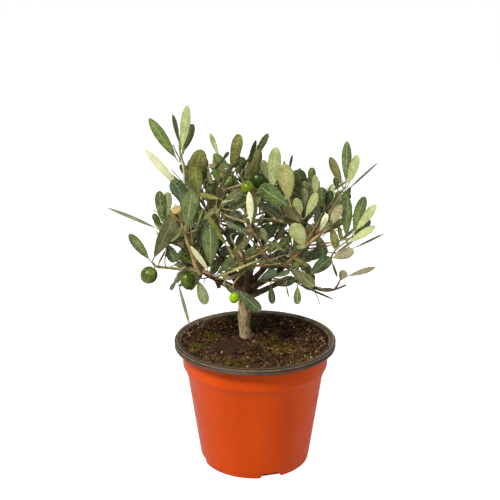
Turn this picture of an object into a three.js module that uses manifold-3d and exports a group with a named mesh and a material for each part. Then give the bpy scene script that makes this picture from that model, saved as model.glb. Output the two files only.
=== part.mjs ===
// Young olive tree, bushy from low down, in a 14 cm nursery pot.
// Millimetres, +Z up, front towards -Y. The origin is the middle of the pot's flat underside.
// Bearings are degrees from +X, counter-clockwise seen from above, so the front is -90.
// Rises are degrees above level. A lift is how far a limb curves upwards on its way.

import * as THREE from "three";
import { mergeVertices } from "three/addons/utils/BufferGeometryUtils.js";
import Module from "manifold-3d";

const wasm = await Module();
wasm.setup();

// Pot
const POT_FACETS = 40;
const RIM_RADIUS = 70;
const RIM_TOP = 111.2;
const RIM_DEPTH = 5.8;
const RIM_INNER = 64.6;
const RIM_GROOVE = 0.8;
const COLLAR_RADIUS = 63.3;
const COLLAR_FOOT = 89.5;
const SHOULDER_RADIUS = 60.8;
const SHOULDER_HEIGHT = 85;
const WALL_TOP_RADIUS = 59;
const WALL_TOP = 79;
const BASE_RADIUS = 47.8;
const BASE_CHAMFER = 1;
const WALL = 1.3;
const FLOOR = 1.5;
const DRAINS = 4;
const DRAIN_TURN = 16.3;
const DRAIN_WIDE = 20.7;
const DRAIN_WIDE_TOP = 13.6;
const DRAIN_TALL = 4.6;
const DRAIN_INNER = 42.5;
const DRAIN_OUTER = 52;

// Soil
const FIT = 0.35;
const SOIL_TOP = 107;
const SOIL_RINGS = [57, 49.5, 41, 33, 25, 17, 9];
const MOUND = { x: -26, y: -14, wide: 20, deep: 22, height: 1.8 };
const HOLLOW = { x: 28, y: 26, wide: 9, deep: 12, height: -6.5 };
const BANK_FOOT = 34;
const BANK_HEIGHT = 3.2;

// Trunk
const SEAT = 0.3;
const TRUNK_FOOT = [-7.8, 13, SOIL_TOP + SEAT];
const TRUNK = { bearing: 180, rise: 80, long: 50, lift: 24 };
const TRUNK_STEPS = 12;
const TRUNK_SIDES = 10;
const TRUNK_RADIUS = 4.9;
const TRUNK_TIP_RADIUS = 3.9;
const ROOT_FLARE = 1.7;
const FLARE_FADE = 0.09;
const FORK_SWELL = 0.7;
const KNOT_SWELL = 0.8;
const KNOT_AT = 0.34;

// Boughs, each from a share of the trunk's length: root and tip radius in the last two
const BOUGH_STEPS = 5;
const BOUGH_SIDES = 7;
const BOUGHS = {
  leader: { from: 1, bearing: 50, rise: 70, long: 38, lift: 8, root: 2.3, tip: 1.7 },
  left: { from: 0.84, bearing: -157, rise: 22, long: 32, lift: 12, root: 2.9, tip: 2.1 },
  right: { from: 0.9, bearing: -21, rise: 26, long: 38, lift: 16, root: 2.8, tip: 2.1 },
  right_low: { from: 0.72, bearing: -31, rise: 28, long: 47, lift: 6, root: 2.4, tip: 1.7 },
  front: { from: 0.86, bearing: -89, rise: 33, long: 41, lift: 16, root: 2.2, tip: 1.5 },
  left_upper: { from: 0.97, bearing: -173, rise: 42, long: 40, lift: 16, root: 2.3, tip: 1.6 },
  upper_left: { from: 1, bearing: 142, rise: 55, long: 42, lift: 10, root: 2.3, tip: 1.6 },
  upper_right: { from: 0.96, bearing: 22, rise: 38, long: 48, lift: 12, root: 2.3, tip: 1.6 },
  back_left: { from: 0.84, bearing: 131, rise: 22, long: 44, lift: 14, root: 2.3, tip: 1.6 },
  back_right: { from: 0.76, bearing: 43, rise: 24, long: 49, lift: 14, root: 2.4, tip: 1.6 },
};

// Twigs
const TWIG_RADIUS = 1.25;
const TWIG_TIP_RADIUS = 0.85;
const SIDE_TWIG_RADIUS = 1;
const TWIG_SIDES = 3;
const STEM_SIDES = 5;
const STEM_STEPS = 4;
const SHOOT_STEPS = 3;
const SIDE_STEPS = 2;
const STALK_RADIUS = 0.7;

// Leaves: spread from the twig is wide low on a shoot and narrow at its tip
const SPREAD_LOW = 58;
const SPREAD_TOP = 24;
const LEAF_RATIO = 0.25;
const LEAF_RIDGE = 0.6;
const LEAF_NECK = 0.38;
const WIDEST_AT = 0.52;
const SKYWARD = 0.3;
const TRIES = 2;
const TURN_PER_TRY = 22;
const LOWEST_LEAF = 138;

// Clearances between points set this far apart on twigs and leaves
const PITCH = 2;
const GAP_BETWEEN = 3.2;
const GAP_WITHIN = 2.6;
const GAP_TO_LIMB = 1.5;
const ROOT_ZONE = 8;
const TWIG_ROOT_ZONE = 6;

// Masses of foliage: a stem that carries on from a bough, and shoots along it.
// In a shoot, from is its place along the stem, pairs the pairs of leaves beyond the lowest,
// leaf their length, turn the way the lowest pair faces, first where it stands, and sides the
// number of side twigs. What a row leaves out is as in SHOOT.
// A bare shoot has only the leaves that the list after it gives.
// That list is of leaves that stand out from the crown: on is the shoot's number, roll turns the
// leaf about its length, from its green face to the front at 0 to its pale one at 180.
// A fruit hangs by a stalk from a shoot, or from the stem where on is -1.
const SHOOT = { lift: 14, pairs: 3, leaf: 38, turn: 0, first: 0.3, sides: 1 };
const BARE = { pairs: -1, sides: 0 };
const MASSES = {
  front: {
    bough: "front",
    stem: { bearing: -100, rise: 45, long: 32, lift: 12 },
    shoots: [
      { from: 1, bearing: -63, rise: 67, long: 25, lift: 4, pairs: 2, leaf: 34, turn: 20, first: 0.45 },
      { from: 0.6, bearing: -127, rise: 29, long: 27, lift: 16, turn: 40, first: 0.35 },
      { from: 0.6, bearing: -41, rise: 24, long: 32, lift: 16, turn: 30, first: 0.35 },
      { from: 0.3, bearing: -21, rise: 8, long: 32, lift: 8, leaf: 34, turn: 30, first: 0.4 },
      { from: 0.15, bearing: -138, rise: -65, long: 17, lift: 0, ...BARE },
    ],
    leaves: [
      { on: 4, from: 1, bearing: -23, rise: -29, long: 24, ratio: 0.36, roll: 20 },
      { on: 0, from: 0.95, bearing: -51, rise: 84, long: 26, ratio: 0.26, roll: 170 },
    ],
    fruit: [{ on: 4, from: 0.85, bearing: -150, rise: -50, stalk: 5, wide: 9, long: 9 }],
  },
  left_low: {
    bough: "left",
    stem: { bearing: -140, rise: 29, long: 18, lift: 4 },
    shoots: [
      { from: 1, bearing: -161, rise: 14, long: 45, lift: 8, ...BARE },
      { from: 0.9, bearing: -131, rise: 57, long: 45, leaf: 34, turn: 60, first: 0.45, sides: 0 },
      { from: 0.5, bearing: -136, rise: -1, long: 13, lift: 0, ...BARE },
      { from: 0.9, bearing: -147, rise: -7, long: 24, lift: 0, ...BARE },
      { from: 0.2, bearing: -86, rise: 15, long: 13, lift: 10, ...BARE },
      { from: 0.85, bearing: 150, rise: 20, long: 28, leaf: 35, turn: 30 },
    ],
    leaves: [
      { on: 0, from: 1, bearing: -160, rise: 54, long: 30, ratio: 0.26, roll: 10 },
      { on: 0, from: 0.95, bearing: -7, rise: 63, long: 39, ratio: 0.3, roll: 150 },
      { on: 2, from: 1, bearing: -26, rise: -66, long: 23, ratio: 0.4, roll: 160 },
      { on: 3, from: 1, bearing: -39, rise: -69, long: 36, ratio: 0.13, roll: 70 },
      { on: 4, from: 1, bearing: -99, rise: 78, long: 50, ratio: 0.28, roll: 5 },
      { on: 4, from: 0.95, bearing: -24, rise: 49, long: 52, ratio: 0.16, roll: 40 },
      { on: 4, from: 0.8, bearing: -40, rise: 29, long: 46, ratio: 0.14, roll: 50 },
      { on: 4, from: 0.7, bearing: -151, rise: 55, long: 28, ratio: 0.18, roll: 110 },
    ],
    fruit: [
      { on: 0, from: 0.9, bearing: -150, rise: -60, stalk: 4, wide: 13.5, long: 13.5 },
      { on: 2, from: 0.8, bearing: -170, rise: -25, stalk: 5, wide: 12, long: 14 },
    ],
  },
  right_low: {
    bough: "right_low",
    stem: { bearing: -19, rise: -4, long: 19, lift: -8 },
    shoots: [
      { from: 1, bearing: -7, rise: -3, long: 34, lift: 34, ...BARE },
      { from: 0.3, bearing: -24, rise: 21, long: 33, lift: 10, leaf: 34, turn: 10, first: 0.4, sides: 0 },
      { from: 0.7, bearing: -116, rise: 6, long: 9, lift: -20, ...BARE },
      { from: 0.4, bearing: 56, rise: -7, long: 39, lift: 10, leaf: 34, turn: 10, first: 0.4 },
    ],
    leaves: [
      { on: 0, from: 1, bearing: -10, rise: 21, long: 25, ratio: 0.22, roll: 130 },
      { on: 2, from: 1, bearing: -87, rise: -83, long: 17, ratio: 0.34, roll: 20 },
      { on: 2, from: 0.6, bearing: -16, rise: -22, long: 30, ratio: 0.13, roll: 70 },
    ],
    fruit: [],
  },
  left_mid: {
    bough: "left_upper",
    stem: { bearing: -160, rise: 37, long: 28, lift: -4 },
    shoots: [
      { from: 0.9, bearing: -155, rise: 18, long: 33, lift: 6, ...BARE },
      { from: 1, bearing: -148, rise: 26, long: 30, lift: 8, pairs: 2, leaf: 34, first: 0.4, sides: 0 },
      { from: 0.75, bearing: -145, rise: 58, long: 38, lift: 8, turn: 20 },
      { from: 0.45, bearing: -91, rise: 36, long: 39, lift: 16, turn: 50 },
      { from: 0.6, bearing: 144, rise: -14, long: 32, leaf: 36, turn: 10 },
    ],
    leaves: [
      { on: 0, from: 1, bearing: -172, rise: 25, long: 48, ratio: 0.12, roll: 80 },
      { on: 0, from: 0.9, bearing: -119, rise: 80, long: 28, ratio: 0.3, roll: 10 },
      { on: 0, from: 0.85, bearing: -26, rise: 80, long: 25, ratio: 0.26, roll: 165 },
      { on: 3, from: 0.6, bearing: -80, rise: 76, long: 34, ratio: 0.3, roll: 0 },
    ],
    fruit: [],
  },
  right: {
    bough: "right",
    stem: { bearing: -19, rise: 44, long: 34, lift: 6 },
    shoots: [
      { from: 1, bearing: -8, rise: 55, long: 57, lift: 8, pairs: 4, turn: 8, first: 0.45, sides: 0 },
      { from: 0.95, bearing: -20, rise: 7, long: 38, pairs: 4, leaf: 36, turn: 10, first: 0.35, sides: 0 },
      { from: 0.6, bearing: -52, rise: 48, long: 51, leaf: 36, turn: 40 },
      { from: 0.8, bearing: 41, rise: 22, long: 42, leaf: 36 },
      { from: 0.3, bearing: -77, rise: 41, long: 47, lift: 18, leaf: 36, turn: 50, first: 0.4 },
      { from: 0.3, bearing: 12, rise: 3, long: 32, lift: 10, leaf: 35, turn: 20, first: 0.4, sides: 0 },
    ],
    leaves: [
      { on: 0, from: 1, bearing: -9, rise: 43, long: 33, ratio: 0.12, roll: 80 },
      { on: 0, from: 1, bearing: -14, rise: 73, long: 28, ratio: 0.26, roll: 170 },
      { on: 0, from: 0.97, bearing: -101, rise: 87, long: 36, ratio: 0.22, roll: 10 },
      { on: 0, from: 0.93, bearing: -169, rise: 65, long: 26, ratio: 0.3, roll: 150 },
      { on: 1, from: 1, bearing: -4, rise: 24, long: 28, ratio: 0.12, roll: 80 },
      { on: 1, from: 0.97, bearing: -6, rise: 41, long: 25, ratio: 0.26, roll: 170 },
      { on: 1, from: 0.9, bearing: -13, rise: 74, long: 31, ratio: 0.2, roll: 10 },
      { on: 1, from: 0.85, bearing: -55, rise: 85, long: 30, ratio: 0.26, roll: 160 },
    ],
    fruit: [],
  },
  upper_left: {
    bough: "upper_left",
    stem: { bearing: -152, rise: 49, long: 44, lift: 10 },
    shoots: [
      { from: 1, bearing: -149, rise: 61, long: 50, lift: 12, leaf: 44, first: 0.35, sides: 0 },
      { from: 0.85, bearing: -111, rise: 58, long: 31, lift: 8, turn: 30, first: 0.4 },
      { from: 0.5, bearing: -78, rise: 61, long: 45, lift: 12, turn: 20 },
      { from: 0.35, bearing: 133, rise: 25, long: 36, lift: 16 },
      { from: 0.2, bearing: -98, rise: 24, long: 54, lift: 16, turn: 60 },
    ],
    leaves: [
      { on: 0, from: 0.98, bearing: -22, rise: 82, long: 40, ratio: 0.24, roll: 175 },
      { on: 0, from: 0.8, bearing: -175, rise: 59, long: 42, ratio: 0.21, roll: 5 },
      { on: 0, from: 1, bearing: -155, rise: 80, long: 27, ratio: 0.16, roll: 60 },
      { on: 0, from: 0.95, bearing: -12, rise: 62, long: 22, ratio: 0.3, roll: 10 },
      { on: 0, from: 0.35, bearing: -172, rise: 52, long: 44, ratio: 0.16, roll: 120 },
      { on: 0, from: 0.25, bearing: -154, rise: 47, long: 24, ratio: 0.5, roll: 20 },
      { on: 1, from: 0.5, bearing: -17, rise: 70, long: 38, ratio: 0.38, roll: 10 },
    ],
    fruit: [{ on: 2, from: 0.8, bearing: -75, rise: 15, stalk: 8, wide: 12, long: 14 }],
  },
  top: {
    bough: "leader",
    stem: { bearing: -130, rise: 72, long: 39, lift: 4 },
    shoots: [
      { from: 1, bearing: 164, rise: 74, long: 29, lift: 2, leaf: 36, turn: 15, first: 0.35 },
      { from: 0.9, bearing: -42, rise: 61, long: 38, lift: 8, leaf: 36, first: 0.35 },
      { from: 0.6, bearing: -48, rise: 22, long: 49, lift: 8, pairs: 2, leaf: 40, turn: 20, first: 0.35 },
      { from: 0.4, bearing: -111, rise: 20, long: 57, lift: 18, turn: 40 },
      { from: 0.3, bearing: -82, rise: 17, long: 58, lift: 18, turn: 70 },
      { from: 0.5, bearing: 91, rise: 24, long: 36, lift: 16 },
      { from: 0.7, bearing: 40, rise: 35, long: 38, turn: 30 },
      { from: 0.7, bearing: 135, rise: 27, long: 37, turn: 30 },
    ],
    leaves: [
      { on: 2, from: 0.75, bearing: -16, rise: 79, long: 37, ratio: 0.36, roll: 178 },
      { on: 2, from: 1, bearing: -101, rise: 86, long: 30, ratio: 0.42, roll: 178 },
      { on: 2, from: 0.95, bearing: -175, rise: 34, long: 27, ratio: 0.48, roll: 5 },
    ],
    fruit: [
      { on: 0, from: 0.5, bearing: -70, rise: -10, stalk: 8, wide: 12, long: 14 },
      { on: 1, from: 0.6, bearing: -120, rise: 0, stalk: 4, wide: 12, long: 14 },
    ],
  },
  upper_right: {
    bough: "upper_right",
    stem: { bearing: -22, rise: 58, long: 34, lift: 8 },
    shoots: [
      { from: 1, bearing: -54, rise: 63, long: 25, lift: 8, leaf: 34, turn: 10 },
      { from: 0.6, bearing: -95, rise: 27, long: 48, lift: 18, leaf: 36, turn: 40 },
      { from: 0.6, bearing: 49, rise: 22, long: 36, lift: 16, leaf: 36 },
      { from: 0.3, bearing: 89, rise: 29, long: 38, lift: 18, leaf: 36, turn: 30 },
    ],
    leaves: [],
    fruit: [],
  },
  back_left: {
    bough: "back_left",
    stem: { bearing: 131, rise: 15, long: 31, lift: 10 },
    shoots: [
      { from: 1, bearing: 137, rise: 28, long: 28 },
      { from: 0.5, bearing: -175, rise: 6, long: 36, turn: 30 },
      { from: 0.6, bearing: 86, rise: 23, long: 43 },
      { from: 0.15, bearing: 146, rise: -24, long: 28, lift: 4, pairs: 2, leaf: 34, turn: 45 },
    ],
    leaves: [],
    fruit: [],
  },
  back_right: {
    bough: "back_right",
    stem: { bearing: 47, rise: 14, long: 32, lift: 10 },
    shoots: [
      { from: 1, bearing: 43, rise: 29, long: 29, lift: 12 },
      { from: 0.5, bearing: -4, rise: 3, long: 41, lift: 12, leaf: 36, turn: 30 },
      { from: 0.5, bearing: 108, rise: 20, long: 46 },
      { from: 0.15, bearing: 22, rise: -20, long: 30, lift: 4, pairs: 2, leaf: 34, turn: 20 },
    ],
    leaves: [],
    fruit: [],
  },
};

// Finishes
const TERRACOTTA = new THREE.MeshStandardMaterial({ color: 0xc8501a, roughness: 0.45, metalness: 0 });
const COMPOST = new THREE.MeshStandardMaterial({ color: 0x3a2a20, roughness: 0.95, metalness: 0 });
const BARK = new THREE.MeshStandardMaterial({ color: 0x8f7d66, roughness: 0.85, metalness: 0 });
const LEAF_GREEN = new THREE.MeshStandardMaterial({ color: 0x4a6340, roughness: 0.55, metalness: 0 });

const SKY = new THREE.Vector3(0, 0, 1);
const SIGHT = new THREE.Vector3(0.12, 1, 0.2);
const radians = THREE.MathUtils.degToRad;
const degrees = THREE.MathUtils.radToDeg;

// Even random numbers between low and high, the same on each run.
function seeded(seed) {
  let state = seed >>> 0;
  return (low, high) => {
    state = (state + 0x6d2b79f5) >>> 0;
    let mixed = Math.imul(state ^ (state >>> 15), state | 1);
    mixed ^= mixed + Math.imul(mixed ^ (mixed >>> 7), mixed | 61);
    return low + ((high - low) * ((mixed ^ (mixed >>> 14)) >>> 0)) / 4294967296;
  };
}

function heading(bearing, rise) {
  const level = Math.cos(radians(rise));
  const x = Math.cos(radians(bearing)) * level;
  const y = Math.sin(radians(bearing)) * level;
  return new THREE.Vector3(x, y, Math.sin(radians(rise)));
}

// The line of a limb: points along it, and its direction at each.
function run(start, limb, steps, swing = 0) {
  const points = [start.clone()];
  const ways = [];
  for (let i = 0; i < steps; i += 1) {
    const share = (i + 0.5) / steps;
    const way = heading(limb.bearing + swing * share, limb.rise + limb.lift * share);
    ways.push(way);
    points.push(points[i].clone().addScaledVector(way, limb.long / steps));
  }
  ways.push(heading(limb.bearing + swing, limb.rise + limb.lift));
  return { points, ways };
}

// The point and direction at a share of a line's length.
function along(line, share) {
  const last = line.points.length - 1;
  const i = Math.min(last - 1, Math.floor(share * last));
  const part = share * last - i;
  const at = line.points[i].clone().lerp(line.points[i + 1], part);
  const way = line.ways[i].clone().lerp(line.ways[i + 1], part).normalize();
  return { at, way };
}

// Two directions square to a twig, the first one across the view from the front.
function squareTo(way) {
  const side = new THREE.Vector3().crossVectors(way, SIGHT).normalize();
  const other = new THREE.Vector3().crossVectors(way, side);
  return { side, other };
}

function blend(...terms) {
  const sum = new THREE.Vector3();
  for (const [vector, share] of terms) sum.addScaledVector(vector, share);
  return sum;
}

// A closed skin over rings of points, each counter-clockwise seen from its end.
// It ends in a flat face, or in a point where a tip is given.
function skin(rings, tip = null) {
  const sides = rings[0].length;
  const corners = rings.flat();
  const faces = [];
  const last = (rings.length - 1) * sides;
  for (let start = 0; start < last; start += sides) {
    for (let j = 0; j < sides; j += 1) {
      const next = (j + 1) % sides;
      faces.push(start + j, start + next, start + sides + next);
      faces.push(start + j, start + sides + next, start + sides + j);
    }
  }
  for (let j = 1; j < sides - 1; j += 1) faces.push(0, j + 1, j);
  if (tip) {
    corners.push(tip);
    for (let j = 0; j < sides; j += 1) faces.push(last + j, last + ((j + 1) % sides), last + sides);
  } else {
    for (let j = 1; j < sides - 1; j += 1) faces.push(last, last + j, last + j + 1);
  }
  const geometry = new THREE.BufferGeometry().setFromPoints(corners);
  geometry.setIndex(faces);
  return geometry;
}

// A round limb along a line, its radius a function of the share of its length.
function limb(line, radiusAt, sides) {
  const last = line.points.length - 1;
  let side = Math.abs(line.ways[0].x) < 0.8 ? new THREE.Vector3(1, 0, 0) : new THREE.Vector3(0, 1, 0);
  const rings = line.points.map((centre, i) => {
    side = blend([side, 1], [line.ways[i], -side.dot(line.ways[i])]).normalize();
    const other = new THREE.Vector3().crossVectors(line.ways[i], side);
    const radius = radiusAt(i / last);
    return Array.from({ length: sides }, (unused, j) => {
      const angle = (2 * Math.PI * j) / sides;
      return blend([centre, 1], [side, radius * Math.cos(angle)], [other, radius * Math.sin(angle)]);
    });
  });
  return skin(rings);
}

function taper(root, tip) {
  return (share) => root + (tip - root) * share;
}

function solidOf(geometry) {
  const bare = new THREE.BufferGeometry();
  bare.setAttribute("position", geometry.getAttribute("position"));
  bare.setIndex(geometry.getIndex());
  const welded = mergeVertices(bare, 1e-4);
  const vertProperties = new Float32Array(welded.attributes.position.array);
  const triVerts = new Uint32Array(welded.index.array);
  return new wasm.Manifold(new wasm.Mesh({ numProp: 3, vertProperties, triVerts }));
}

function geometryOf(solid) {
  const { vertProperties, triVerts } = solid.getMesh();
  const geometry = new THREE.BufferGeometry();
  geometry.setAttribute("position", new THREE.BufferAttribute(vertProperties, 3));
  geometry.setIndex(new THREE.BufferAttribute(triVerts, 1));
  return geometry;
}

// Pieces joined into one body: hollows that the joining seals are filled, and scraps dropped.
function fused(pieces) {
  const bodies = wasm.Manifold.union(pieces).simplify(0.02).decompose();
  return bodies.reduce((largest, body) => (body.volume() > largest.volume() ? body : largest));
}

function named(name, geometry, material) {
  const mesh = new THREE.Mesh(geometry, material.clone());
  mesh.name = name;
  geometry.computeVertexNormals();
  return mesh;
}

function turned(profile) {
  const points = profile.map(([radius, height]) => new THREE.Vector2(radius, height));
  return new THREE.LatheGeometry(points, POT_FACETS).rotateX(Math.PI / 2);
}

// The pot's outer wall from the base up to the rim
function wallProfile() {
  return [
    [BASE_RADIUS - BASE_CHAMFER, 0],
    [BASE_RADIUS, BASE_CHAMFER],
    [WALL_TOP_RADIUS, WALL_TOP],
    [SHOULDER_RADIUS, SHOULDER_HEIGHT],
    [COLLAR_RADIUS - 0.3, COLLAR_FOOT],
    [COLLAR_RADIUS, RIM_TOP - RIM_DEPTH],
  ];
}

// The same wall's inside, from the rim down to the floor, set in by more than its thickness
function innerProfile(inset) {
  return [
    [COLLAR_RADIUS - inset, RIM_TOP - RIM_DEPTH],
    [COLLAR_RADIUS - 0.3 - inset, COLLAR_FOOT + 0.5],
    [SHOULDER_RADIUS - inset, SHOULDER_HEIGHT + 0.5],
    [WALL_TOP_RADIUS - inset, WALL_TOP],
  ];
}

function drain(number) {
  const outline = new THREE.Shape([
    new THREE.Vector2(-DRAIN_WIDE / 2, -1),
    new THREE.Vector2(DRAIN_WIDE / 2, -1),
    new THREE.Vector2(DRAIN_WIDE_TOP / 2, DRAIN_TALL),
    new THREE.Vector2(-DRAIN_WIDE_TOP / 2, DRAIN_TALL),
  ]);
  const depth = DRAIN_OUTER - DRAIN_INNER;
  const block = new THREE.ExtrudeGeometry(outline, { depth, bevelEnabled: false });
  block.translate(0, 0, DRAIN_INNER).rotateX(Math.PI / 2);
  return block.rotateZ(radians(DRAIN_TURN + (number * 360) / DRAINS));
}

function makePot() {
  const lip = RIM_DEPTH / 2;
  const profile = [
    [0, 0],
    ...wallProfile(),
    [RIM_RADIUS - 0.5, RIM_TOP - RIM_DEPTH],
    [RIM_RADIUS, RIM_TOP - RIM_DEPTH + 0.6],
    [RIM_RADIUS, RIM_TOP - lip - 0.4],
    [RIM_RADIUS - RIM_GROOVE, RIM_TOP - lip],
    [RIM_RADIUS, RIM_TOP - lip + 0.4],
    [RIM_RADIUS - 0.5, RIM_TOP],
    [RIM_INNER, RIM_TOP],
    ...innerProfile(WALL),
    [BASE_RADIUS - WALL, FLOOR],
    [0, FLOOR],
  ];
  let pot = solidOf(turned(profile));
  for (let number = 0; number < DRAINS; number += 1) pot = pot.subtract(solidOf(drain(number)));
  return named("pot", geometryOf(pot), TERRACOTTA);
}

function heap(x, y, place) {
  const across = ((x - place.x) / place.wide) ** 2;
  return place.height * Math.exp(-across - ((y - place.y) / place.deep) ** 2);
}

// The soil's top: a low mound left of the trunk, a hollow behind it on the right, and a bank that
// climbs the wall at the back and the sides. It is level where the trunk stands.
function soilHeight(x, y) {
  const edge = (Math.max(0, Math.hypot(x, y) - BANK_FOOT) / (COLLAR_RADIUS - BANK_FOOT)) ** 2;
  const behind = Math.min(1, Math.max(0, (y + 45) / 50));
  const waves = 0.6 * Math.sin(x / 5.5) * Math.cos(y / 6.5);
  const away = Math.min(1, Math.max(0, Math.hypot(x - TRUNK_FOOT[0], y - TRUNK_FOOT[1]) - 9) / 8);
  const bank = edge * (BANK_HEIGHT * behind - 1);
  return SOIL_TOP + away * (heap(x, y, MOUND) + heap(x, y, HOLLOW) + bank + waves - 0.5);
}

function makeSoil() {
  const inset = WALL + FIT;
  const edge = COLLAR_RADIUS - 0.1 - inset;
  const profile = [
    [0, FLOOR + FIT],
    [BASE_RADIUS - inset, FLOOR + FIT],
    ...innerProfile(inset).reverse().slice(0, 3),
    [edge, SOIL_TOP - 3],
    ...[edge, ...SOIL_RINGS, 0].map((radius) => [radius, SOIL_TOP]),
  ];
  const geometry = turned(profile);
  const place = geometry.getAttribute("position");
  for (let i = 0; i < place.count; i += 1) {
    if (place.getZ(i) > SOIL_TOP - 0.01) place.setZ(i, soilHeight(place.getX(i), place.getY(i)));
  }
  return named("soil", geometryOf(solidOf(geometry)), COMPOST);
}

const trunkLine = run(new THREE.Vector3(...TRUNK_FOOT), TRUNK, TRUNK_STEPS);
trunkLine.ways[0] = SKY.clone();

// True taper, a flare at the foot, a knot a third of the way up and a swelling under the fork.
function trunkRadius(share) {
  const straight = taper(TRUNK_RADIUS, TRUNK_TIP_RADIUS)(share);
  const flare = ROOT_FLARE * Math.exp(-share / FLARE_FADE);
  const knot = KNOT_SWELL * Math.exp(-(((share - KNOT_AT) / 0.09) ** 2));
  const fork = FORK_SWELL * Math.exp(-(((share - 0.86) / 0.14) ** 2));
  return straight + flare + knot + fork;
}

function boughLine(bough) {
  return run(along(trunkLine, bough.from).at, bough, BOUGH_STEPS);
}

const boughLines = {};
for (const name of Object.keys(BOUGHS)) boughLines[name] = boughLine(BOUGHS[name]);

// A solid grown by the seat's width, which its neighbours are cut back to.
function grown(line, radiusAt, sides) {
  const last = line.points.length - 1;
  const points = line.points.slice();
  points[last] = blend([points[last], 1], [line.ways[last], SEAT]);
  const wider = (share) => (radiusAt(share) + SEAT) / Math.cos(Math.PI / sides);
  return solidOf(limb({ points, ways: line.ways }, wider, sides));
}

function makeWood() {
  const meshes = [named("trunk", limb(trunkLine, trunkRadius, TRUNK_SIDES), BARK)];
  const cutters = [grown(trunkLine, trunkRadius, TRUNK_SIDES)];
  for (const [name, bough] of Object.entries(BOUGHS)) {
    const radiusAt = taper(bough.root, bough.tip);
    let piece = solidOf(limb(boughLines[name], radiusAt, BOUGH_SIDES));
    for (const cutter of cutters) piece = piece.subtract(cutter);
    cutters.push(grown(boughLines[name], radiusAt, BOUGH_SIDES));
    meshes.push(named(`bough_${name}`, geometryOf(fused([piece])), BARK));
  }
  return meshes;
}

// Points on the limbs, with the radius that keeps others off, for the clearance of the foliage.
function limbPoints() {
  const points = [];
  const add = (line, long, radiusAt) => {
    const count = Math.ceil(long / PITCH);
    for (let i = 0; i <= count; i += 1) {
      points.push({ at: along(line, i / count).at, radius: radiusAt(i / count) });
    }
  };
  add(trunkLine, TRUNK.long, trunkRadius);
  for (const [name, bough] of Object.entries(BOUGHS)) {
    add(boughLines[name], bough.long, taper(bough.root, bough.tip));
  }
  return points;
}

const limbs = limbPoints();
const taken = [];

function nearLimb(samples, gap) {
  return samples.some((point) => limbs.some(({ at, radius }) => point.distanceTo(at) < radius + gap));
}

// Whether samples of a new twig, leaf or fruit come too near what has grown already.
function crowded(samples, mass, root, rootZone) {
  const middle = samples[Math.floor(samples.length / 2)];
  const reach = Math.max(...samples.map((point) => point.distanceTo(middle)));
  return taken.some((item) => {
    const gap = item.mass === mass ? GAP_WITHIN : GAP_BETWEEN;
    if (item.middle.distanceTo(middle) > item.reach + reach + gap) return false;
    return item.samples.some((point) => {
      if (item.mass === mass && point.distanceTo(root) < rootZone) return false;
      return samples.some((other) => other.distanceToSquared(point) < gap * gap);
    });
  });
}

function take(samples, mass) {
  const middle = samples[Math.floor(samples.length / 2)];
  const reach = Math.max(...samples.map((point) => point.distanceTo(middle)));
  taken.push({ samples, mass, middle, reach });
}

function lineSamples(line, long) {
  const count = Math.ceil(long / PITCH);
  return Array.from({ length: count + 1 }, (unused, i) => along(line, i / count).at);
}

// A side twig leaves its shoot at a share of its length, turned about it, and curves up.
function sideTwig(shoot, line, number, draw) {
  const share = 0.18 + 0.3 * number + draw(0, 0.12);
  const { at, way } = along(line, share);
  const { side, other } = squareTo(way);
  const flip = draw(0, 1) > 0.5 ? 180 : 0;
  const angle = radians(shoot.turn + 90 * number + flip + draw(-25, 25));
  const across = blend([side, Math.cos(angle)], [other, Math.sin(angle)]);
  const out = blend([way, 0.72], [across, 0.7], [SKY, 0.25]).normalize();
  const bearing = degrees(Math.atan2(out.y, out.x));
  const rise = degrees(Math.asin(out.z));
  const long = shoot.long * draw(0.35, 0.6) + 6;
  const lift = draw(4, 18);
  const swing = draw(-10, 10);
  const leaf = shoot.leaf * draw(0.7, 0.85);
  const turn = draw(0, 180);
  const twig = { bearing, rise, long, lift, pairs: 2, leaf, turn, first: 0.4 };
  return { twig, line: run(at, twig, SIDE_STEPS, swing) };
}

// The twigs of one mass: its stem, its shoots and their side twigs, each kept clear of the rest.
function growTwigs(name, mass, number) {
  const draw = seeded(100 + number);
  const bough = BOUGHS[mass.bough];
  const boughEnd = boughLines[mass.bough];
  const tip = boughEnd.points.length - 1;
  const start = blend([boughEnd.points[tip], 1], [boughEnd.ways[tip], SEAT]);
  const stemLine = run(start, mass.stem, STEM_STEPS);
  stemLine.ways[0] = boughEnd.ways[tip].clone();
  const stem = { line: stemLine, radius: [bough.tip * 0.95, TWIG_RADIUS * 1.1], sides: STEM_SIDES };
  const twigs = [stem];
  const shootLines = [];
  take(lineSamples(stemLine, mass.stem.long), name);
  for (const row of mass.shoots) {
    const shoot = { ...SHOOT, ...row };
    const root = along(stemLine, shoot.from).at;
    const line = run(root, shoot, SHOOT_STEPS, draw(-8, 8));
    shootLines.push(line);
    take(lineSamples(line, shoot.long), name);
    const radius = [TWIG_RADIUS, TWIG_TIP_RADIUS];
    twigs.push({ line, radius, sides: TWIG_SIDES, leaves: shoot });
    for (let i = 0; i < shoot.sides; i += 1) {
      const side = sideTwig(shoot, line, i, draw);
      const samples = lineSamples(side.line, side.twig.long);
      if (nearLimb(samples, GAP_TO_LIMB)) continue;
      if (crowded(samples, name, side.line.points[0], TWIG_ROOT_ZONE)) continue;
      take(samples, name);
      const narrow = [SIDE_TWIG_RADIUS, TWIG_TIP_RADIUS];
      twigs.push({ line: side.line, radius: narrow, sides: TWIG_SIDES, leaves: side.twig });
    }
  }
  const placed = (item) => {
    const root = along(item.on < 0 ? stemLine : shootLines[item.on], item.from).at;
    return { ...item, root, way: heading(item.bearing, item.rise) };
  };
  return { name, twigs, leaves: mass.leaves.map(placed), fruit: mass.fruit.map(placed) };
}

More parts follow.
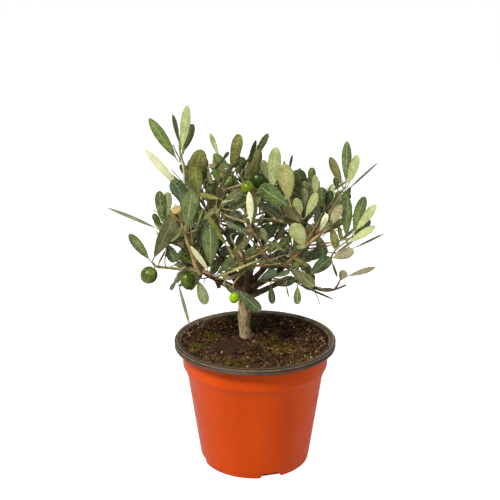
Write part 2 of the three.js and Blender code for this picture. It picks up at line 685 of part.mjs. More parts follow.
function fruitGeometry(olive) {
  const ball = new THREE.IcosahedronGeometry(1, 1);
  ball.scale(olive.wide / 2, olive.wide / 2, olive.long / 2);
  ball.applyQuaternion(new THREE.Quaternion().setFromUnitVectors(SKY, olive.way));
  const centre = blend([olive.root, 1], [olive.way, olive.stalk + olive.long / 2]);
  return ball.translate(centre.x, centre.y, centre.z);
}

function fruitSamples(olive) {
  const place = fruitGeometry(olive).getAttribute("position");
  const corner = (unused, i) => new THREE.Vector3().fromBufferAttribute(place, i);
  return Array.from({ length: place.count }, corner);
}

// A leaf's frame: where it starts, the way it points, and the way its green side faces.
function leafFrame(at, lead, towards, long, ratio, arch) {
  const face = blend([towards, 1], [lead, -towards.dot(lead)]).normalize();
  const across = new THREE.Vector3().crossVectors(face, lead);
  return { at, lead, face, across, long, wide: long * ratio, arch };
}

// A leaf of a pair, at a share of its twig's length. Each try turns it further round the twig.
function pairedLeaf(twig, line, share, pair, partner, attempt, draw) {
  const { at, way } = along(line, Math.min(share, 0.999));
  const { side, other } = squareTo(way);
  const turn = twig.turn + 90 * (pair % 2) + 180 * partner + attempt * TURN_PER_TRY;
  const angle = radians(turn + draw(-16, 16));
  const spread = radians(SPREAD_LOW + (SPREAD_TOP - SPREAD_LOW) * share + draw(-9, 9));
  const out = blend([side, Math.cos(angle)], [other, Math.sin(angle)]);
  const lead = blend([way, Math.cos(spread)], [out, Math.sin(spread)], [SKY, 0.12]).normalize();
  const towards = blend([way, Math.sin(spread)], [out, -Math.cos(spread)], [SKY, SKYWARD]);
  towards.x += draw(-0.3, 0.3);
  towards.y += draw(-0.3, 0.3);
  const long = twig.leaf * (0.78 + 0.3 * Math.sin(Math.PI * (0.25 + 0.6 * share))) * draw(0.86, 1.1);
  const ratio = LEAF_RATIO * draw(0.82, 1.2);
  return leafFrame(at, lead, towards, long, ratio, draw(-0.02, 0.1));
}

// A leaf that stands out from the crown, in the place its mass's list gives.
function standingLeaf(item) {
  const { side, other } = squareTo(item.way);
  const roll = radians(item.roll);
  const towards = blend([other, Math.cos(roll)], [side, Math.sin(roll)]);
  return leafFrame(item.root, item.way, towards, item.long, item.ratio, 0.03);
}

// A leaf's point at a share of its length and of its half width.
function onLeaf(leaf, share, sideways) {
  const half = (leaf.wide / 2) * Math.sin(Math.PI * Math.min(1, share)) ** 0.7;
  const drop = leaf.long * leaf.arch * share * share;
  const point = blend([leaf.at, 1], [leaf.lead, leaf.long * share], [leaf.face, -drop]);
  return point.addScaledVector(leaf.across, half * sideways);
}

function leafSamples(leaf) {
  const samples = [];
  const count = Math.ceil((leaf.long * 0.9) / PITCH);
  for (let i = 0; i <= count; i += 1) {
    const share = 0.1 + (0.9 * i) / count;
    for (const sideways of [-1, -0.5, 0, 0.5, 1]) samples.push(onLeaf(leaf, share, sideways));
  }
  return samples;
}

function leafFits(leaf, samples, mass, rootZone) {
  return !nearLimb(samples, GAP_TO_LIMB) && !crowded(samples, mass, leaf.at, rootZone);
}

// A flat leaf with a ridge along it, its neck sunk in the twig.
function leafGeometry(leaf) {
  const ring = (share, half, ridge) => {
    const centre = onLeaf(leaf, share, 0);
    return [
      blend([centre, 1], [leaf.across, half]),
      blend([centre, 1], [leaf.face, ridge]),
      blend([centre, 1], [leaf.across, -half]),
    ];
  };
  const rings = [ring(0, LEAF_NECK, LEAF_NECK), ring(WIDEST_AT, leaf.wide / 2, LEAF_RIDGE)];
  return skin(rings, onLeaf(leaf, 1, 0));
}

// The leaves that stand out grow first, clear of the other masses and of the limbs.
function growStandingLeaves(mass) {
  const leaves = [];
  for (const item of mass.leaves) {
    const leaf = standingLeaf(item);
    const samples = leafSamples(leaf);
    if (!leafFits(leaf, samples, mass.name, Infinity)) continue;
    take(samples, mass.name);
    leaves.push(leaf);
  }
  return leaves;
}

// The rest stand in opposite pairs, each pair square to the last, closer to the twig near its tip.
let leafNumber = 0;
function growPairs(mass) {
  const leaves = [];
  for (const { line, leaves: twig } of mass.twigs.slice(1)) {
    for (let pair = 0; pair <= twig.pairs; pair += 1) {
      const share = twig.first + ((1 - twig.first) * pair) / twig.pairs;
      for (let partner = 0; partner < 2; partner += 1) {
        leafNumber += 1;
        const draw = seeded(7919 * leafNumber);
        for (let attempt = 0; attempt < TRIES; attempt += 1) {
          const leaf = pairedLeaf(twig, line, share, pair, partner, attempt, draw);
          const samples = leafSamples(leaf);
          const lowest = Math.min(...samples.map((point) => point.z));
          if (lowest < LOWEST_LEAF || !leafFits(leaf, samples, mass.name, ROOT_ZONE)) continue;
          take(samples, mass.name);
          leaves.push(leaf);
          break;
        }
      }
    }
  }
  return leaves;
}

function makeMass(mass, leaves) {
  const pieces = mass.twigs.map(({ line, radius, sides }) => solidOf(limb(line, taper(...radius), sides)));
  for (const leaf of leaves) pieces.push(solidOf(leafGeometry(leaf)));
  for (const olive of mass.fruit) {
    const stalk = { ...olive, long: olive.stalk + 2, lift: 0 };
    pieces.push(solidOf(limb(run(olive.root, stalk, 1), taper(STALK_RADIUS, STALK_RADIUS), TWIG_SIDES)));
    pieces.push(solidOf(fruitGeometry(olive)));
  }
  return named(`foliage_${mass.name}`, geometryOf(fused(pieces)), LEAF_GREEN);
}

const masses = Object.entries(MASSES).map(([name, mass], number) => growTwigs(name, mass, number));
for (const mass of masses) {
  for (const olive of mass.fruit) take(fruitSamples(olive), mass.name);
}
const standing = masses.map((mass) => growStandingLeaves(mass));

const tree = new THREE.Group();
tree.name = "potted_olive_tree";
tree.add(makePot(), makeSoil(), ...makeWood());
masses.forEach((mass, i) => tree.add(makeMass(mass, [...standing[i], ...growPairs(mass)])));

export default tree;
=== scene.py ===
import math
from collections import namedtuple

import bpy
import numpy as np
from mathutils import Matrix, Vector, noise


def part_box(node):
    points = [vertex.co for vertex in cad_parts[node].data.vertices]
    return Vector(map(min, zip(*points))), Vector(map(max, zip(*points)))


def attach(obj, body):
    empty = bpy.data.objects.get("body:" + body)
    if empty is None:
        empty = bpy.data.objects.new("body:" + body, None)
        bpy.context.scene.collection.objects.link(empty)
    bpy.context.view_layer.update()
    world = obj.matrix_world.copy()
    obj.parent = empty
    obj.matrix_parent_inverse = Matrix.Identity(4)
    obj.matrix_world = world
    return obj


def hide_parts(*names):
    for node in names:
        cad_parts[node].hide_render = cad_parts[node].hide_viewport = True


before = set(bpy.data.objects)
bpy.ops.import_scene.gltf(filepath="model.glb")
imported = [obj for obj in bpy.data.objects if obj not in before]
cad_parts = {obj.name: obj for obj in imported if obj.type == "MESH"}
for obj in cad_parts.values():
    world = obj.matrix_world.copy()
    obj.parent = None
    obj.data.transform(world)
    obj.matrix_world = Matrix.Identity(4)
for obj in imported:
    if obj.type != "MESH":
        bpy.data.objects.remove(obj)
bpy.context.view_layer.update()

# Young olive tree in a 14 cm nursery pot. Sizes and places are millimetres in the frame's axes and
# become metres where a mesh is made. Bearings are degrees from +X, counter-clockwise seen from
# above, so the front is -90, and rises are degrees above level.
MM = 0.001

# Camera: the distance, height and pitch that the ellipses of the rim and the soil give. The photo
# is 500 pixels wide and high.
CAMERA_PLACE = np.array([-4.43, -779, 423])
CAMERA_PITCH = 16.62
CAMERA_LENS = 69.12
CAMERA_SENSOR = 36
PHOTO_WIDE = 500

# Light: softboxes by their place and aim in metres, their size and power
FLOOR_LIGHT = 0.3
SURROUND_LIGHT = 0.28
LIGHT = (1, 1, 1, 1)
Softbox = namedtuple("Softbox", "place aim size power")
SOFTBOXES = {
    "key_light": Softbox((-0.65, -0.75, 1.25), (0, 0, 0.16), (0.4, 0.4), 30.5),
    "right_light": Softbox((1.0, -0.35, 0.8), (0, 0, 0.14), (0.3, 0.8), 3),
    "back_light": Softbox((0.2, 1.0, 1.2), (0, 0, 0.2), (0.8, 0.6), 5),
}

# Pot
POT_STEPS = 128
RIM_RADIUS = 70
RIM_TOP = 111.2
RIM_FOOT = 105.4
COLLAR_RADIUS = 63.3
BASE_RADIUS = 47.8
WALL_TOP_RADIUS = 59
WALL_TOP = 79
SHELL = 0.6
LINING_GAP = 0.02
DRAINS = 4
DRAIN_TURN = 16.3
DRAIN_WIDE = 20.7
DRAIN_WIDE_TOP = 13.6
DRAIN_TALL = 4.6
DRAIN_INNER = 42.5
DRAIN_OUTER = 52
SLAB_TOP = 5.6

# Soil
SOIL_TOP = 107
SOIL_RADIUS = 61.9
SOIL_STEPS = 400
SOIL_PITCH = 0.65
BANK_FOOT = 34
BANK_HEIGHT = 3.2
WALL_LEAN = 0.44
MOSS_BEDS = [(-50, -11, 9), (43, -29, 11), (-18, -46, 12), (14, 2, 9), (25, -12, 12), (-40, 12, 9)]

# Trunk
TRUNK_FOOT = (-7.8, 13, SOIL_TOP)
TRUNK_RADIUS = 4.9
TRUNK_TIP_RADIUS = 3.9
ROOT_FLARE = 1.7
FLARE_FADE = 0.09
BARK_PALE_TOP = 158
SCAR = (-2.2, 8.5, 128)
WOOD_VOXEL = 0.45
Swelling = namedtuple("Swelling", "height at long")
TRUNK_SWELLINGS = {
    "knot": Swelling(0.8, 0.34, 0.09),
    "fork": Swelling(0.7, 0.86, 0.14),
    "burl": Swelling(1.1, 0.6, 0.24),
}

# Twigs and leaves
TWIG_RADIUS = 0.95
TWIG_TIP_RADIUS = 0.45
STALK_RADIUS = 0.42
LIMB_STEPS = 8
TWIG_STEPS = 14
TWIG_SIDES = 7
SPREAD_LOW = 58
SPREAD_TOP = 24
LEAF_RATIO = 0.25
LEAF_THICK = 0.4
LEAF_GROOVE = 0.25
LEAF_CURL = 0.12
LEAF_COLUMNS = [-1, -0.5, 0, 0.5, 1]
LEAF_ROWS = [0, 0.09, 0.17, 0.31, 0.48, 0.65, 0.8, 0.91, 0.975, 1]
PETIOLE = 0.07
PETIOLE_WIDE = 0.09
SKYWARD = 0.3
TURN_PER_TRY = 22
LOWEST_LEAF = 138
PITCH = 2.5
INWARD_REACH = 16
LARGEST_SPARE = 5
SPOT_EDGE = 0.5
VIEW_PIXELS = 2.0
VIEW_DEPTH = 0.5
SPACE_POINTS = 60000
UPPER_TONES = ["deep", "deep", "deep", "mid", "mid", "bright", "grey", "olive", "fresh", "fresh"]
UNDER_TONES = ["pale", "silver", "silver", "silver", "yellow", "dull", "rose"]

# How far the growth rule's leaves and twigs vary: the lower and upper end of each draw
BLADE_TWIST = (-22, 22)
BLADE_FOLD = (-0.16, 0.3)
TURN_SWAY = (-16, 16)
SPREAD_SWAY = (-9, 9)
FACE_SWAY = (-0.3, 0.3)
LENGTH_SHARE = (0.86, 1.1)
WIDTH_SHARE = (0.82, 1.2)
ARCH_SHARE = (-0.02, 0.1)
SHOOT_SWING = (-8, 8)
SIDE_LENGTH = (0.35, 0.6)
SIDE_SWAY = (-25, 25)
SIDE_LIFT = (4, 18)
SIDE_SWING = (-10, 10)
SIDE_LEAF = (0.7, 0.85)
SIDE_PAIRS = 2
LEAD_SKYWARD = 0.12
LEAF_TRIES = 4
LEAF_SEED = 7919
SEEN_ARCH = 0.05
SEEN_WIDTH = 1.06
SHORTEST_STALK = 0.8

# Finer twigs that fill the crown, with smaller leaves
FINE_TWIGS = 9
FINE_STEP = 0.3
FINE_TWIG_LENGTH = (0.3, 0.65)
FINE_LENGTH = 0.95
FINE_WIDTH = 0.84
FINE_LEAF_SEED = 104729

# Room that a new twig or leaf needs: how near its root nothing counts, and how far it keeps from
# its own mass and from the others
Room = namedtuple("Room", "root_zone within between")
TWIG_ROOM = Room(6, 2.6, 3.2)
LEAF_ROOM = Room(7, 2.0, 2.3)
FINE_TWIG_ROOM = Room(5, 1.2, 2)
FINE_LEAF_ROOM = Room(7, 1.2, 1.4)

Heap = namedtuple("Heap", "x y wide deep height")
MOUND = Heap(-26, -14, 20, 22, 1.8)
HOLLOW = Heap(28, 26, 9, 12, -6.5)

Patch = namedtuple("Patch", "x y wide deep")
EVEN_TOP = Patch(-25, -13, 18, 20)
FAR_SIDE = Patch(38, 44, 15, 13)
BEFORE_TRUNK = Patch(12, -16, 26, 18)

Limb = namedtuple("Limb", "start bearing rise long lift pairs leaf turn first sides")
Limb.__new__.__defaults__ = (14, 3, 38, 0, 0.3, 1)
Bough = namedtuple("Bough", "limb root tip")
Mass = namedtuple("Mass", "bough stem shoots")

TRUNK = Limb(0, 180, 80, 50, lift=24)

# Each bough starts at a share of the trunk's length.
BOUGHS = {
    "leader": Bough(Limb(1, 50, 70, 38, lift=8), 2.3, 1.7),
    "left": Bough(Limb(0.84, -157, 22, 32, lift=12), 2.9, 2.1),
    "right": Bough(Limb(0.9, -21, 26, 38, lift=16), 2.8, 2.1),
    "right_low": Bough(Limb(0.72, -31, 28, 47, lift=6), 2.4, 1.7),
    "front": Bough(Limb(0.86, -89, 33, 41, lift=16), 2.2, 1.5),
    "left_upper": Bough(Limb(0.97, -173, 42, 40, lift=16), 2.3, 1.6),
    "upper_left": Bough(Limb(1, 142, 55, 42, lift=10), 2.3, 1.6),
    "upper_right": Bough(Limb(0.96, 22, 38, 48, lift=12), 2.3, 1.6),
    "back_left": Bough(Limb(0.84, 131, 22, 44, lift=14), 2.3, 1.6),
    "back_right": Bough(Limb(0.76, 43, 24, 49, lift=14), 2.4, 1.6),
}

# Masses of foliage: a stem that carries on from a bough, and leafy shoots along it
MASSES = {
    "front": Mass(
        bough="front",
        stem=Limb(0, -100, 45, 32, lift=12),
        shoots=[
            Limb(1, -63, 67, 25, lift=4, pairs=2, leaf=34, turn=20, first=0.45),
            Limb(0.6, -127, 29, 27, lift=16, turn=40, first=0.35),
            Limb(0.6, -41, 24, 32, lift=16, turn=30, first=0.35),
            Limb(0.3, -21, 8, 32, lift=8, leaf=34, turn=30, first=0.4),
        ],
    ),
    "left_low": Mass(
        bough="left",
        stem=Limb(0, -140, 29, 18, lift=4),
        shoots=[
            Limb(0.9, -131, 57, 45, leaf=34, turn=60, first=0.45, sides=0),
            Limb(0.85, 150, 20, 28, leaf=35, turn=30),
        ],
    ),
    "right_low": Mass(
        bough="right_low",
        stem=Limb(0, -19, -4, 19, lift=-8),
        shoots=[
            Limb(0.3, -24, 21, 33, lift=10, leaf=34, turn=10, first=0.4, sides=0),
            Limb(0.4, 56, -7, 39, lift=10, leaf=34, turn=10, first=0.4),
        ],
    ),
    "left_mid": Mass(
        bough="left_upper",
        stem=Limb(0, -160, 37, 28, lift=-4),
        shoots=[
            Limb(1, -148, 26, 30, lift=8, pairs=2, leaf=34, first=0.4, sides=0),
            Limb(0.75, -145, 58, 38, lift=8, turn=20),
            Limb(0.45, -91, 36, 39, lift=16, turn=50),
            Limb(0.6, 144, -14, 32, leaf=36, turn=10),
        ],
    ),
    "right": Mass(
        bough="right",
        stem=Limb(0, -19, 44, 34, lift=6),
        shoots=[
            Limb(1, -8, 55, 57, lift=8, pairs=4, turn=8, first=0.45, sides=0),
            Limb(0.95, -20, 7, 38, pairs=4, leaf=36, turn=10, first=0.35, sides=0),
            Limb(0.6, -52, 48, 51, leaf=36, turn=40),
            Limb(0.8, 41, 22, 42, leaf=36),
            Limb(0.3, -77, 41, 47, lift=18, leaf=36, turn=50, first=0.4),
            Limb(0.3, 12, 3, 32, lift=10, leaf=35, turn=20, first=0.4, sides=0),
        ],
    ),
    "upper_left": Mass(
        bough="upper_left",
        stem=Limb(0, -152, 49, 44, lift=10),
        shoots=[
            Limb(1, -149, 61, 50, lift=12, leaf=44, first=0.35, sides=0),
            Limb(0.85, -111, 58, 31, lift=8, turn=30, first=0.4),
            Limb(0.5, -78, 61, 45, lift=12, turn=20),
            Limb(0.35, 133, 25, 36, lift=16),
            Limb(0.2, -98, 24, 54, lift=16, turn=60),
        ],
    ),
    "top": Mass(
        bough="leader",
        stem=Limb(0, -130, 72, 39, lift=4),
        shoots=[
            Limb(1, 164, 74, 29, lift=2, leaf=36, turn=15, first=0.35),
            Limb(0.9, -42, 61, 38, lift=8, leaf=36, first=0.35),
            Limb(0.6, -48, 22, 49, lift=8, pairs=2, leaf=40, turn=20, first=0.35),
            Limb(0.4, -111, 20, 57, lift=18, turn=40),
            Limb(0.3, -82, 17, 58, lift=18, turn=70),
            Limb(0.5, 91, 24, 36, lift=16),
            Limb(0.7, 40, 35, 38, turn=30),
            Limb(0.7, 135, 27, 37, turn=30),
        ],
    ),
    "upper_right": Mass(
        bough="upper_right",
        stem=Limb(0, -22, 58, 34, lift=8),
        shoots=[
            Limb(1, -54, 63, 25, lift=8, leaf=34, turn=10),
            Limb(0.6, -95, 27, 48, lift=18, leaf=36, turn=40),
            Limb(0.6, 49, 22, 36, lift=16, leaf=36),
            Limb(0.3, 89, 29, 38, lift=18, leaf=36, turn=30),
        ],
    ),
    "back_left": Mass(
        bough="back_left",
        stem=Limb(0, 131, 15, 31, lift=10),
        shoots=[
            Limb(1, 137, 28, 28),
            Limb(0.5, -175, 6, 36, turn=30),
            Limb(0.6, 86, 23, 43),
            Limb(0.15, 146, -24, 28, lift=4, pairs=2, leaf=34, turn=45),
        ],
    ),
    "back_right": Mass(
        bough="back_right",
        stem=Limb(0, 47, 14, 32, lift=10),
        shoots=[
            Limb(1, 43, 29, 29, lift=12),
            Limb(0.5, -4, 3, 41, lift=12, leaf=36, turn=30),
            Limb(0.5, 108, 20, 46),
            Limb(0.15, 22, -20, 30, lift=4, pairs=2, leaf=34, turn=20),
        ],
    ),
}


# Leaves that the photo shows on their own: the pixels of root and tip, how wide they are, how near
# the front the root is and how far the tip leans from it (both along Y), and the roll.
Seen = namedtuple("Seen", "root tip wide near lean roll upper under")
Seen.__new__.__defaults__ = (-2, 15, "deep", "silver")
SEEN = {
    "upper_left": {
        "tall_pale": Seen((182, 150), (187.5, 105), 7.8, 5, -2, 175, "mid", "pale"),
        "tall_narrow": Seen((179.5, 145), (172.8, 114.5), 6.5, 6, 2, 58, "mid"),
        "tall_curved": Seen((183.5, 153), (193, 124), 8.8, 9, 3, 28, "mid", "pale"),
        "tall_green": Seen((178, 161), (149, 118.3), 8.8, 6, -2, 8, "fresh", "pale"),
        "tall_yellow": Seen((181.5, 190), (145.5, 149.3), 7.4, 9, -4, 150, "olive", "cream"),
        "tall_hair": Seen((183, 182), (171, 169), 4, 12, 2, 80),
        "big_olive": Seen((189.5, 190), (201.5, 149.5), 13.6, 6, -4, 8, "olive", "yellow"),
        "front_olive": Seen((199, 197), (195, 166), 10.5, -3, -2, 12, "lime", "yellow"),
        "blue_left": Seen((190, 206), (172, 180), 12.5, 2, -6, 18, "blue"),
        "grey_behind": Seen((203, 184), (206, 158), 6, 12, 0, 20, "blue"),
        "bent_lime": Seen((221, 199), (200, 194), 5.5, -14, -2, 35, "lime", "pale"),
    },
    "left_mid": {
        "pair_green": Seen((163, 223), (159, 191), 8.4, -8, -4, 8, "mid", "pale"),
        "pair_pale": Seen((165, 222), (168, 192), 8, -6, -2, 168, "mid"),
        "small_dark": Seen((162, 227), (153, 214), 5.5, -8, -4, 20, "fresh", "pale"),
        "far_left": Seen((160, 229.8), (107.5, 207.8), 8.5, -9, -8, 66, "mid"),
        "old_orange": Seen((184, 206), (171.5, 211.5), 7, -10, -2, 30, "old", "old"),
        "old_yellow": Seen((181, 222), (172, 213), 6, -8, -2, 35, "old", "old"),
        "upright": Seen((186, 231), (192, 191), 14, -22, -4, 5, "mid", "pale"),
    },
    "left_low": {
        "low_green": Seen((150.5, 261), (129, 234), 7.8, -20, -6, 10, "mid", "pale"),
        "low_grey": Seen((152.6, 260.5), (173.6, 218.5), 12.4, -19, -3, 25, "grey"),
        "low_olive": Seen((183, 227.5), (165, 238.5), 10, -16, -3, 165, "grey", "yellow"),
        "low_deep": Seen((167.3, 243), (175, 262.5), 9.5, -14),
        "low_hair": Seen((158, 266), (165, 251), 4, -19, 0, 76),
        "hanging_long": Seen((177.5, 280), (190, 326), 5, -20, -8, 58, "mid"),
        "hanging_dark": Seen((177, 279), (170, 290), 5, -20, -3, 50),
        "hanging_pale": Seen((197.5, 279), (206, 304.5), 9.2, -12, -4, 165, "mid"),
        "standing": Seen((211, 269), (210, 221), 14.5, -12, -10, 4, "mid", "pale"),
        "cream": Seen((210, 273), (190.5, 246), 5, -16, -4, 150, "olive", "cream"),
        "long_upper": Seen((215, 276), (251.5, 235.5), 7.6, -14, -16, 30, "bright", "pale"),
        "long_lower": Seen((221, 276), (255, 247.5), 6.4, -12, -18, 42, "bright"),
        "long_pale": Seen((217, 277), (262, 258.5), 5, -18, -20, 115, "olive", "yellow"),
        "fresh_low": Seen((234, 278), (256, 262), 8.5, -8, -14, 20, "fresh", "pale"),
        "by_cream": Seen((213.5, 276), (217.5, 259), 8, -8),
        "by_standing": Seen((219, 257), (230, 247), 9, -6, -3),
        "at_foot": Seen((219, 271.5), (228.5, 278.5), 5, -6, -2, 15, "grey"),
        "left_inner": Seen((187, 246), (178, 259), 6.5, -4, -2, 20, "mid"),
        "edge_inner": Seen((196, 262), (206, 236), 5, -6, -4, 60, "fresh", "pale"),
        "deep_under": Seen((219, 273), (258, 249), 9.5, -4, -6, 12, "fresh"),
        "deep_low": Seen((241, 265), (260, 249.5), 8, 0, -4, 15, "mid"),
        "deep_left": Seen((199, 250), (204, 225), 8, 0, -4),
        "slim_left": Seen((198, 252), (204.5, 228), 4.6, -12, -2, 30, "mid", "pale"),
        "fresh_mid": Seen((193, 264), (181, 255), 7, -4, -4, 20, "fresh", "pale"),
    },
    "front": {
        "over_trunk": Seen((234, 288.5), (261, 310.8), 9.2, -26, -8, 10),
        "by_fruit": Seen((224, 285), (235, 293), 5, -24, -4, 30),
        "white": Seen((251, 225), (249, 191.5), 5.6, -45, -3, 172, "mid", "cream"),
        "green": Seen((254, 223), (254, 200), 5.5, -42, -3, 20, "fresh", "pale"),
        "dark_arch": Seen((221, 222.5), (241.5, 212.5), 8.5, 0, -2, 15, "blue"),
        "dark_upper": Seen((270.5, 220.5), (258.5, 239), 9, 0, -2, 15, "fresh"),
        "dark_by_hole": Seen((263.5, 213), (259.5, 226), 5.4, 0),
        "dark_centre": Seen((234.5, 247.5), (245.5, 235), 8, 0),
        "small_centre": Seen((247, 225.5), (252.5, 238.5), 6.6, -4, -2, 25, "grey"),
        "small_low": Seen((256, 263), (265, 256), 7, -4),
        "small_right": Seen((267, 254), (277.5, 242), 7.5, -6, -2, 15, "fresh", "pale"),
        "edge_mid": Seen((262, 249), (279, 238.5), 4, -10, -3, 60, "bright", "yellow"),
        "edge_low": Seen((243, 258), (266, 250), 4.4, -8, -4, 60, "bright", "yellow"),
        "edge_high": Seen((232, 234), (252, 229), 4, -10, -4, 62, "blue", "pale"),
        "behind_left": Seen((230, 248), (231, 224), 9.5, 8, 0, 10, "blue"),
        "behind_mid": Seen((249, 237), (234, 219), 9, 4),
        "behind_right": Seen((266, 242), (275, 225), 8, -4),
        "backing_left": Seen((219, 249), (222.5, 237), 5.5, 6, 0),
        "backing_low": Seen((259.5, 248), (266.5, 238.5), 6, 6, 0),
        "backing_foot": Seen((258, 265), (268, 260), 5, 8, 0, 15, "fresh"),
        "backing_right": Seen((269, 256), (284.5, 252), 6.5, 8, 0),
        "backing_far": Seen((273.5, 240.5), (284.5, 230), 7, 8, 0, 15, "fresh"),
        "right_deep": Seen((276, 252), (290, 236), 8.5, -6, -3, 20, "fresh", "pale"),
        "right_grey": Seen((283, 266), (264, 257), 8, -12, -3, 15, "grey"),
        "right_yellow": Seen((290, 256), (307.5, 266.5), 5, -20, -3, 40, "olive", "yellow"),
        "right_dry": Seen((276, 242), (284, 228), 5, -14, -3, 30, "dry", "rose"),
        "under_right": Seen((262, 268), (284, 262), 8, 2, -2, 15, "blue"),
        "by_stem": Seen((253, 262), (246, 243), 7, 4, -2, 20),
        "slim_row": Seen((225.5, 214), (241.5, 212.3), 3, -18, -2, 45, "bright", "yellow"),
        "slim_mid": Seen((236, 262), (257, 244), 3.4, -26, -4, 50, "bright", "pale"),
        "slim_lower": Seen((229, 268), (249, 256), 3.2, -24, -4, 50, "bright", "pale"),
        "slim_right": Seen((283.5, 249.8), (266, 240), 3.2, -24, -2, 40, "bright", "yellow"),
        "beige_right": Seen((266.5, 243.5), (262, 228), 5.6, -24, -2, 160, "grey", "dull"),
        "slim_low": Seen((258, 262), (275, 254.5), 3.2, -14, -2, 45, "bright", "pale"),
        "long_lime": Seen((228, 248), (204.5, 210.5), 5.5, -30, -6, 38, "lime", "yellow"),
        "long_grey": Seen((249, 236), (226, 221), 4.6, -34, -6, 35, "blue"),
    },
    "top": {
        "pale_left": Seen((219, 158), (210, 133), 5, 14, -2, 140, "olive", "pale"),
        "fresh_left": Seen((232, 171), (213.5, 154), 7, 8, -4, 15, "fresh", "pale"),
        "grey_small": Seen((222, 161), (229, 152), 4, 16, 2, 40, "blue"),
        "olive": Seen((232, 169), (239, 134), 9.2, 12, -3, 8, "olive", "yellow"),
        "thin": Seen((248, 168), (256, 140), 5.5, 12, -2, 50, "deep", "pale"),
        "right": Seen((254, 158), (268, 133.5), 6, 8, -4, 28, "mid", "pale"),
        "middle": Seen((254, 182), (259, 149), 8, 4, -4, 20, "olive", "pale"),
        "grey": Seen((269, 181), (262.5, 160), 7, 2, -2, 165, "mid"),
        "pale_tall": Seen((271.5, 192), (276, 147), 10.4, -8, -3, 176, "mid", "pale"),
        "pale_wide": Seen((289, 202), (284.5, 164), 13, -14, -3, 176, "mid", "yellow"),
        "hair": Seen((289, 172), (292.5, 155), 4, 4, 0, 55),
        "dark_left": Seen((220, 185), (214, 169), 6, 4, -2, 15, "fresh"),
        "dark_low": Seen((207.5, 169), (211, 184), 4.5, 4, -2, 15, "grey"),
        "grey_cross": Seen((206, 180), (229, 152), 3.6, 6, -2, 45, "grey"),
        "edge_cross": Seen((221, 177), (242.5, 158), 3.4, 2, -4, 50, "grey"),
        "edge_front": Seen((242, 196), (221, 203), 4, -20, -3, 58, "bright", "pale"),
        "by_fruit": Seen((221.5, 200), (227.5, 185.5), 5, -2, -2, 20, "grey"),
        "deep_long": Seen((225, 212), (248, 197), 7.5, -16, -4, 20, "fresh"),
        "grey_long": Seen((223, 207), (242, 190), 9.5, -20, -4, 15, "grey"),
        "slim_top": Seen((238, 167.5), (251, 158), 3.2, 0, -2, 45, "grey"),
        "olive_small": Seen((245, 177.5), (254, 161.5), 5.4, -4, -2, 20, "olive", "yellow"),
        "slim_fruit": Seen((222.3, 187), (230, 168.5), 3.8, -12, -2, 35, "grey"),
        "slim_cross": Seen((231, 212), (247, 202.5), 3.4, -24, -2, 45, "bright", "pale"),
        "slim_dry": Seen((217, 200), (222, 182), 3, -16, -2, 30, "dry", "rose"),
        "upright_dry": Seen((219, 213), (218, 188), 4.5, -10, -2, 30, "dry", "rose"),
        "upright_deep": Seen((213, 206), (209, 186), 6, -4, -2, 20),
        "below_fresh": Seen((282, 218), (264, 205), 8, -10, -4),
        "dark_above": Seen((236, 176), (243, 157), 8, 14),
        "front_fresh": Seen((290, 207), (259.5, 186.5), 14.5, -20, -6, 12, "sheen", "pale"),
    },
    "upper_right": {
        "dark": Seen((304, 193), (297.5, 169.5), 11, 8, -6, 10),
        "dark_gap": Seen((284.8, 213), (283.4, 228), 6, -2),
        "backing_top": Seen((262, 224.5), (273.5, 212), 8, 8, 0),
        "backing_edge": Seen((220.5, 219.5), (230, 205.5), 6.5, 8, 0, 15, "fresh"),
        "ring_left": Seen((306.5, 221.5), (310.8, 212.5), 5, -2),
        "ring_right": Seen((314.5, 213), (316.3, 224), 3.6, -2, -2, 15, "dry", "dull"),
        "edge_gap": Seen((287, 221), (299, 229), 3.6, -6, -2, 55, "bright", "pale"),
        "fresh": Seen((313, 188), (311.5, 167.5), 7, 8, -3, 25, "fresh", "pale"),
        "pale": Seen((315.5, 198), (315, 175), 6, 4, -3, 170, "mid", "pale"),
        "small": Seen((309, 193), (304, 181), 5, 2, -2, 150, "mid"),
        "rose": Seen((305, 218), (317, 193), 7.5, -14, -4, 165, "mid", "pale"),
        "lime": Seen((301, 216), (296, 198), 8, -12, -4, 168, "lime", "pale"),
        "brown": Seen((301, 223), (285, 205), 10, -8, -4, 163, "lime", "yellow"),
        "grey": Seen((305, 206), (304, 188), 7, -4, -3, 160, "mid"),
        "edge_left": Seen((322, 206), (321.5, 187), 7, 6, -3, 15, "mid", "pale"),
        "edge_right": Seen((326, 208), (331, 190.5), 7, 10, -3, 15, "deep", "pale"),
        "low": Seen((319, 226), (317, 204), 6, -6, -3, 20, "blue", "pale"),
    },
    "right": {
        "tip_olive": Seen((342.5, 187), (330, 157), 7, -7, -3, 10, "olive", "pale"),
        "tip_small": Seen((338, 191), (335, 177), 5, -4, 0, 15, "deep", "pale"),
        "tip_dark": Seen((346, 184), (347, 141), 7.8, -8, -2, 8, "mid", "pale"),
        "tip_pale": Seen((347.3, 187), (357.5, 155), 7.6, -9, -2, 172, "mid", "pale"),
        "tip_edge": Seen((346.5, 191), (378, 162.8), 6, -9, -4, 71, "mid"),
        "tip_behind": Seen((341, 200), (350, 193), 8, -3, 2, 10, "fresh", "pale"),
        "rose": Seen((329, 227), (341.5, 205), 8.2, -16, -3, 168, "mid", "rose"),
        "white": Seen((319.5, 231), (327.5, 214), 5, -18, -3, 165, "mid", "cream"),
        "olive_up": Seen((346, 240), (348, 197), 8.2, -14, -4, 12, "fresh", "yellow"),
        "green_up": Seen((352.5, 232), (364.5, 196.5), 8.8, -16, -4, 12, "fresh", "pale"),
        "pale_up": Seen((354.8, 231.5), (376.2, 204.5), 7.4, -17, -4, 168, "mid", "pale"),
        "pale_out": Seen((347, 243.5), (375.5, 226), 6.4, -18, -5, 165, "mid", "pale"),
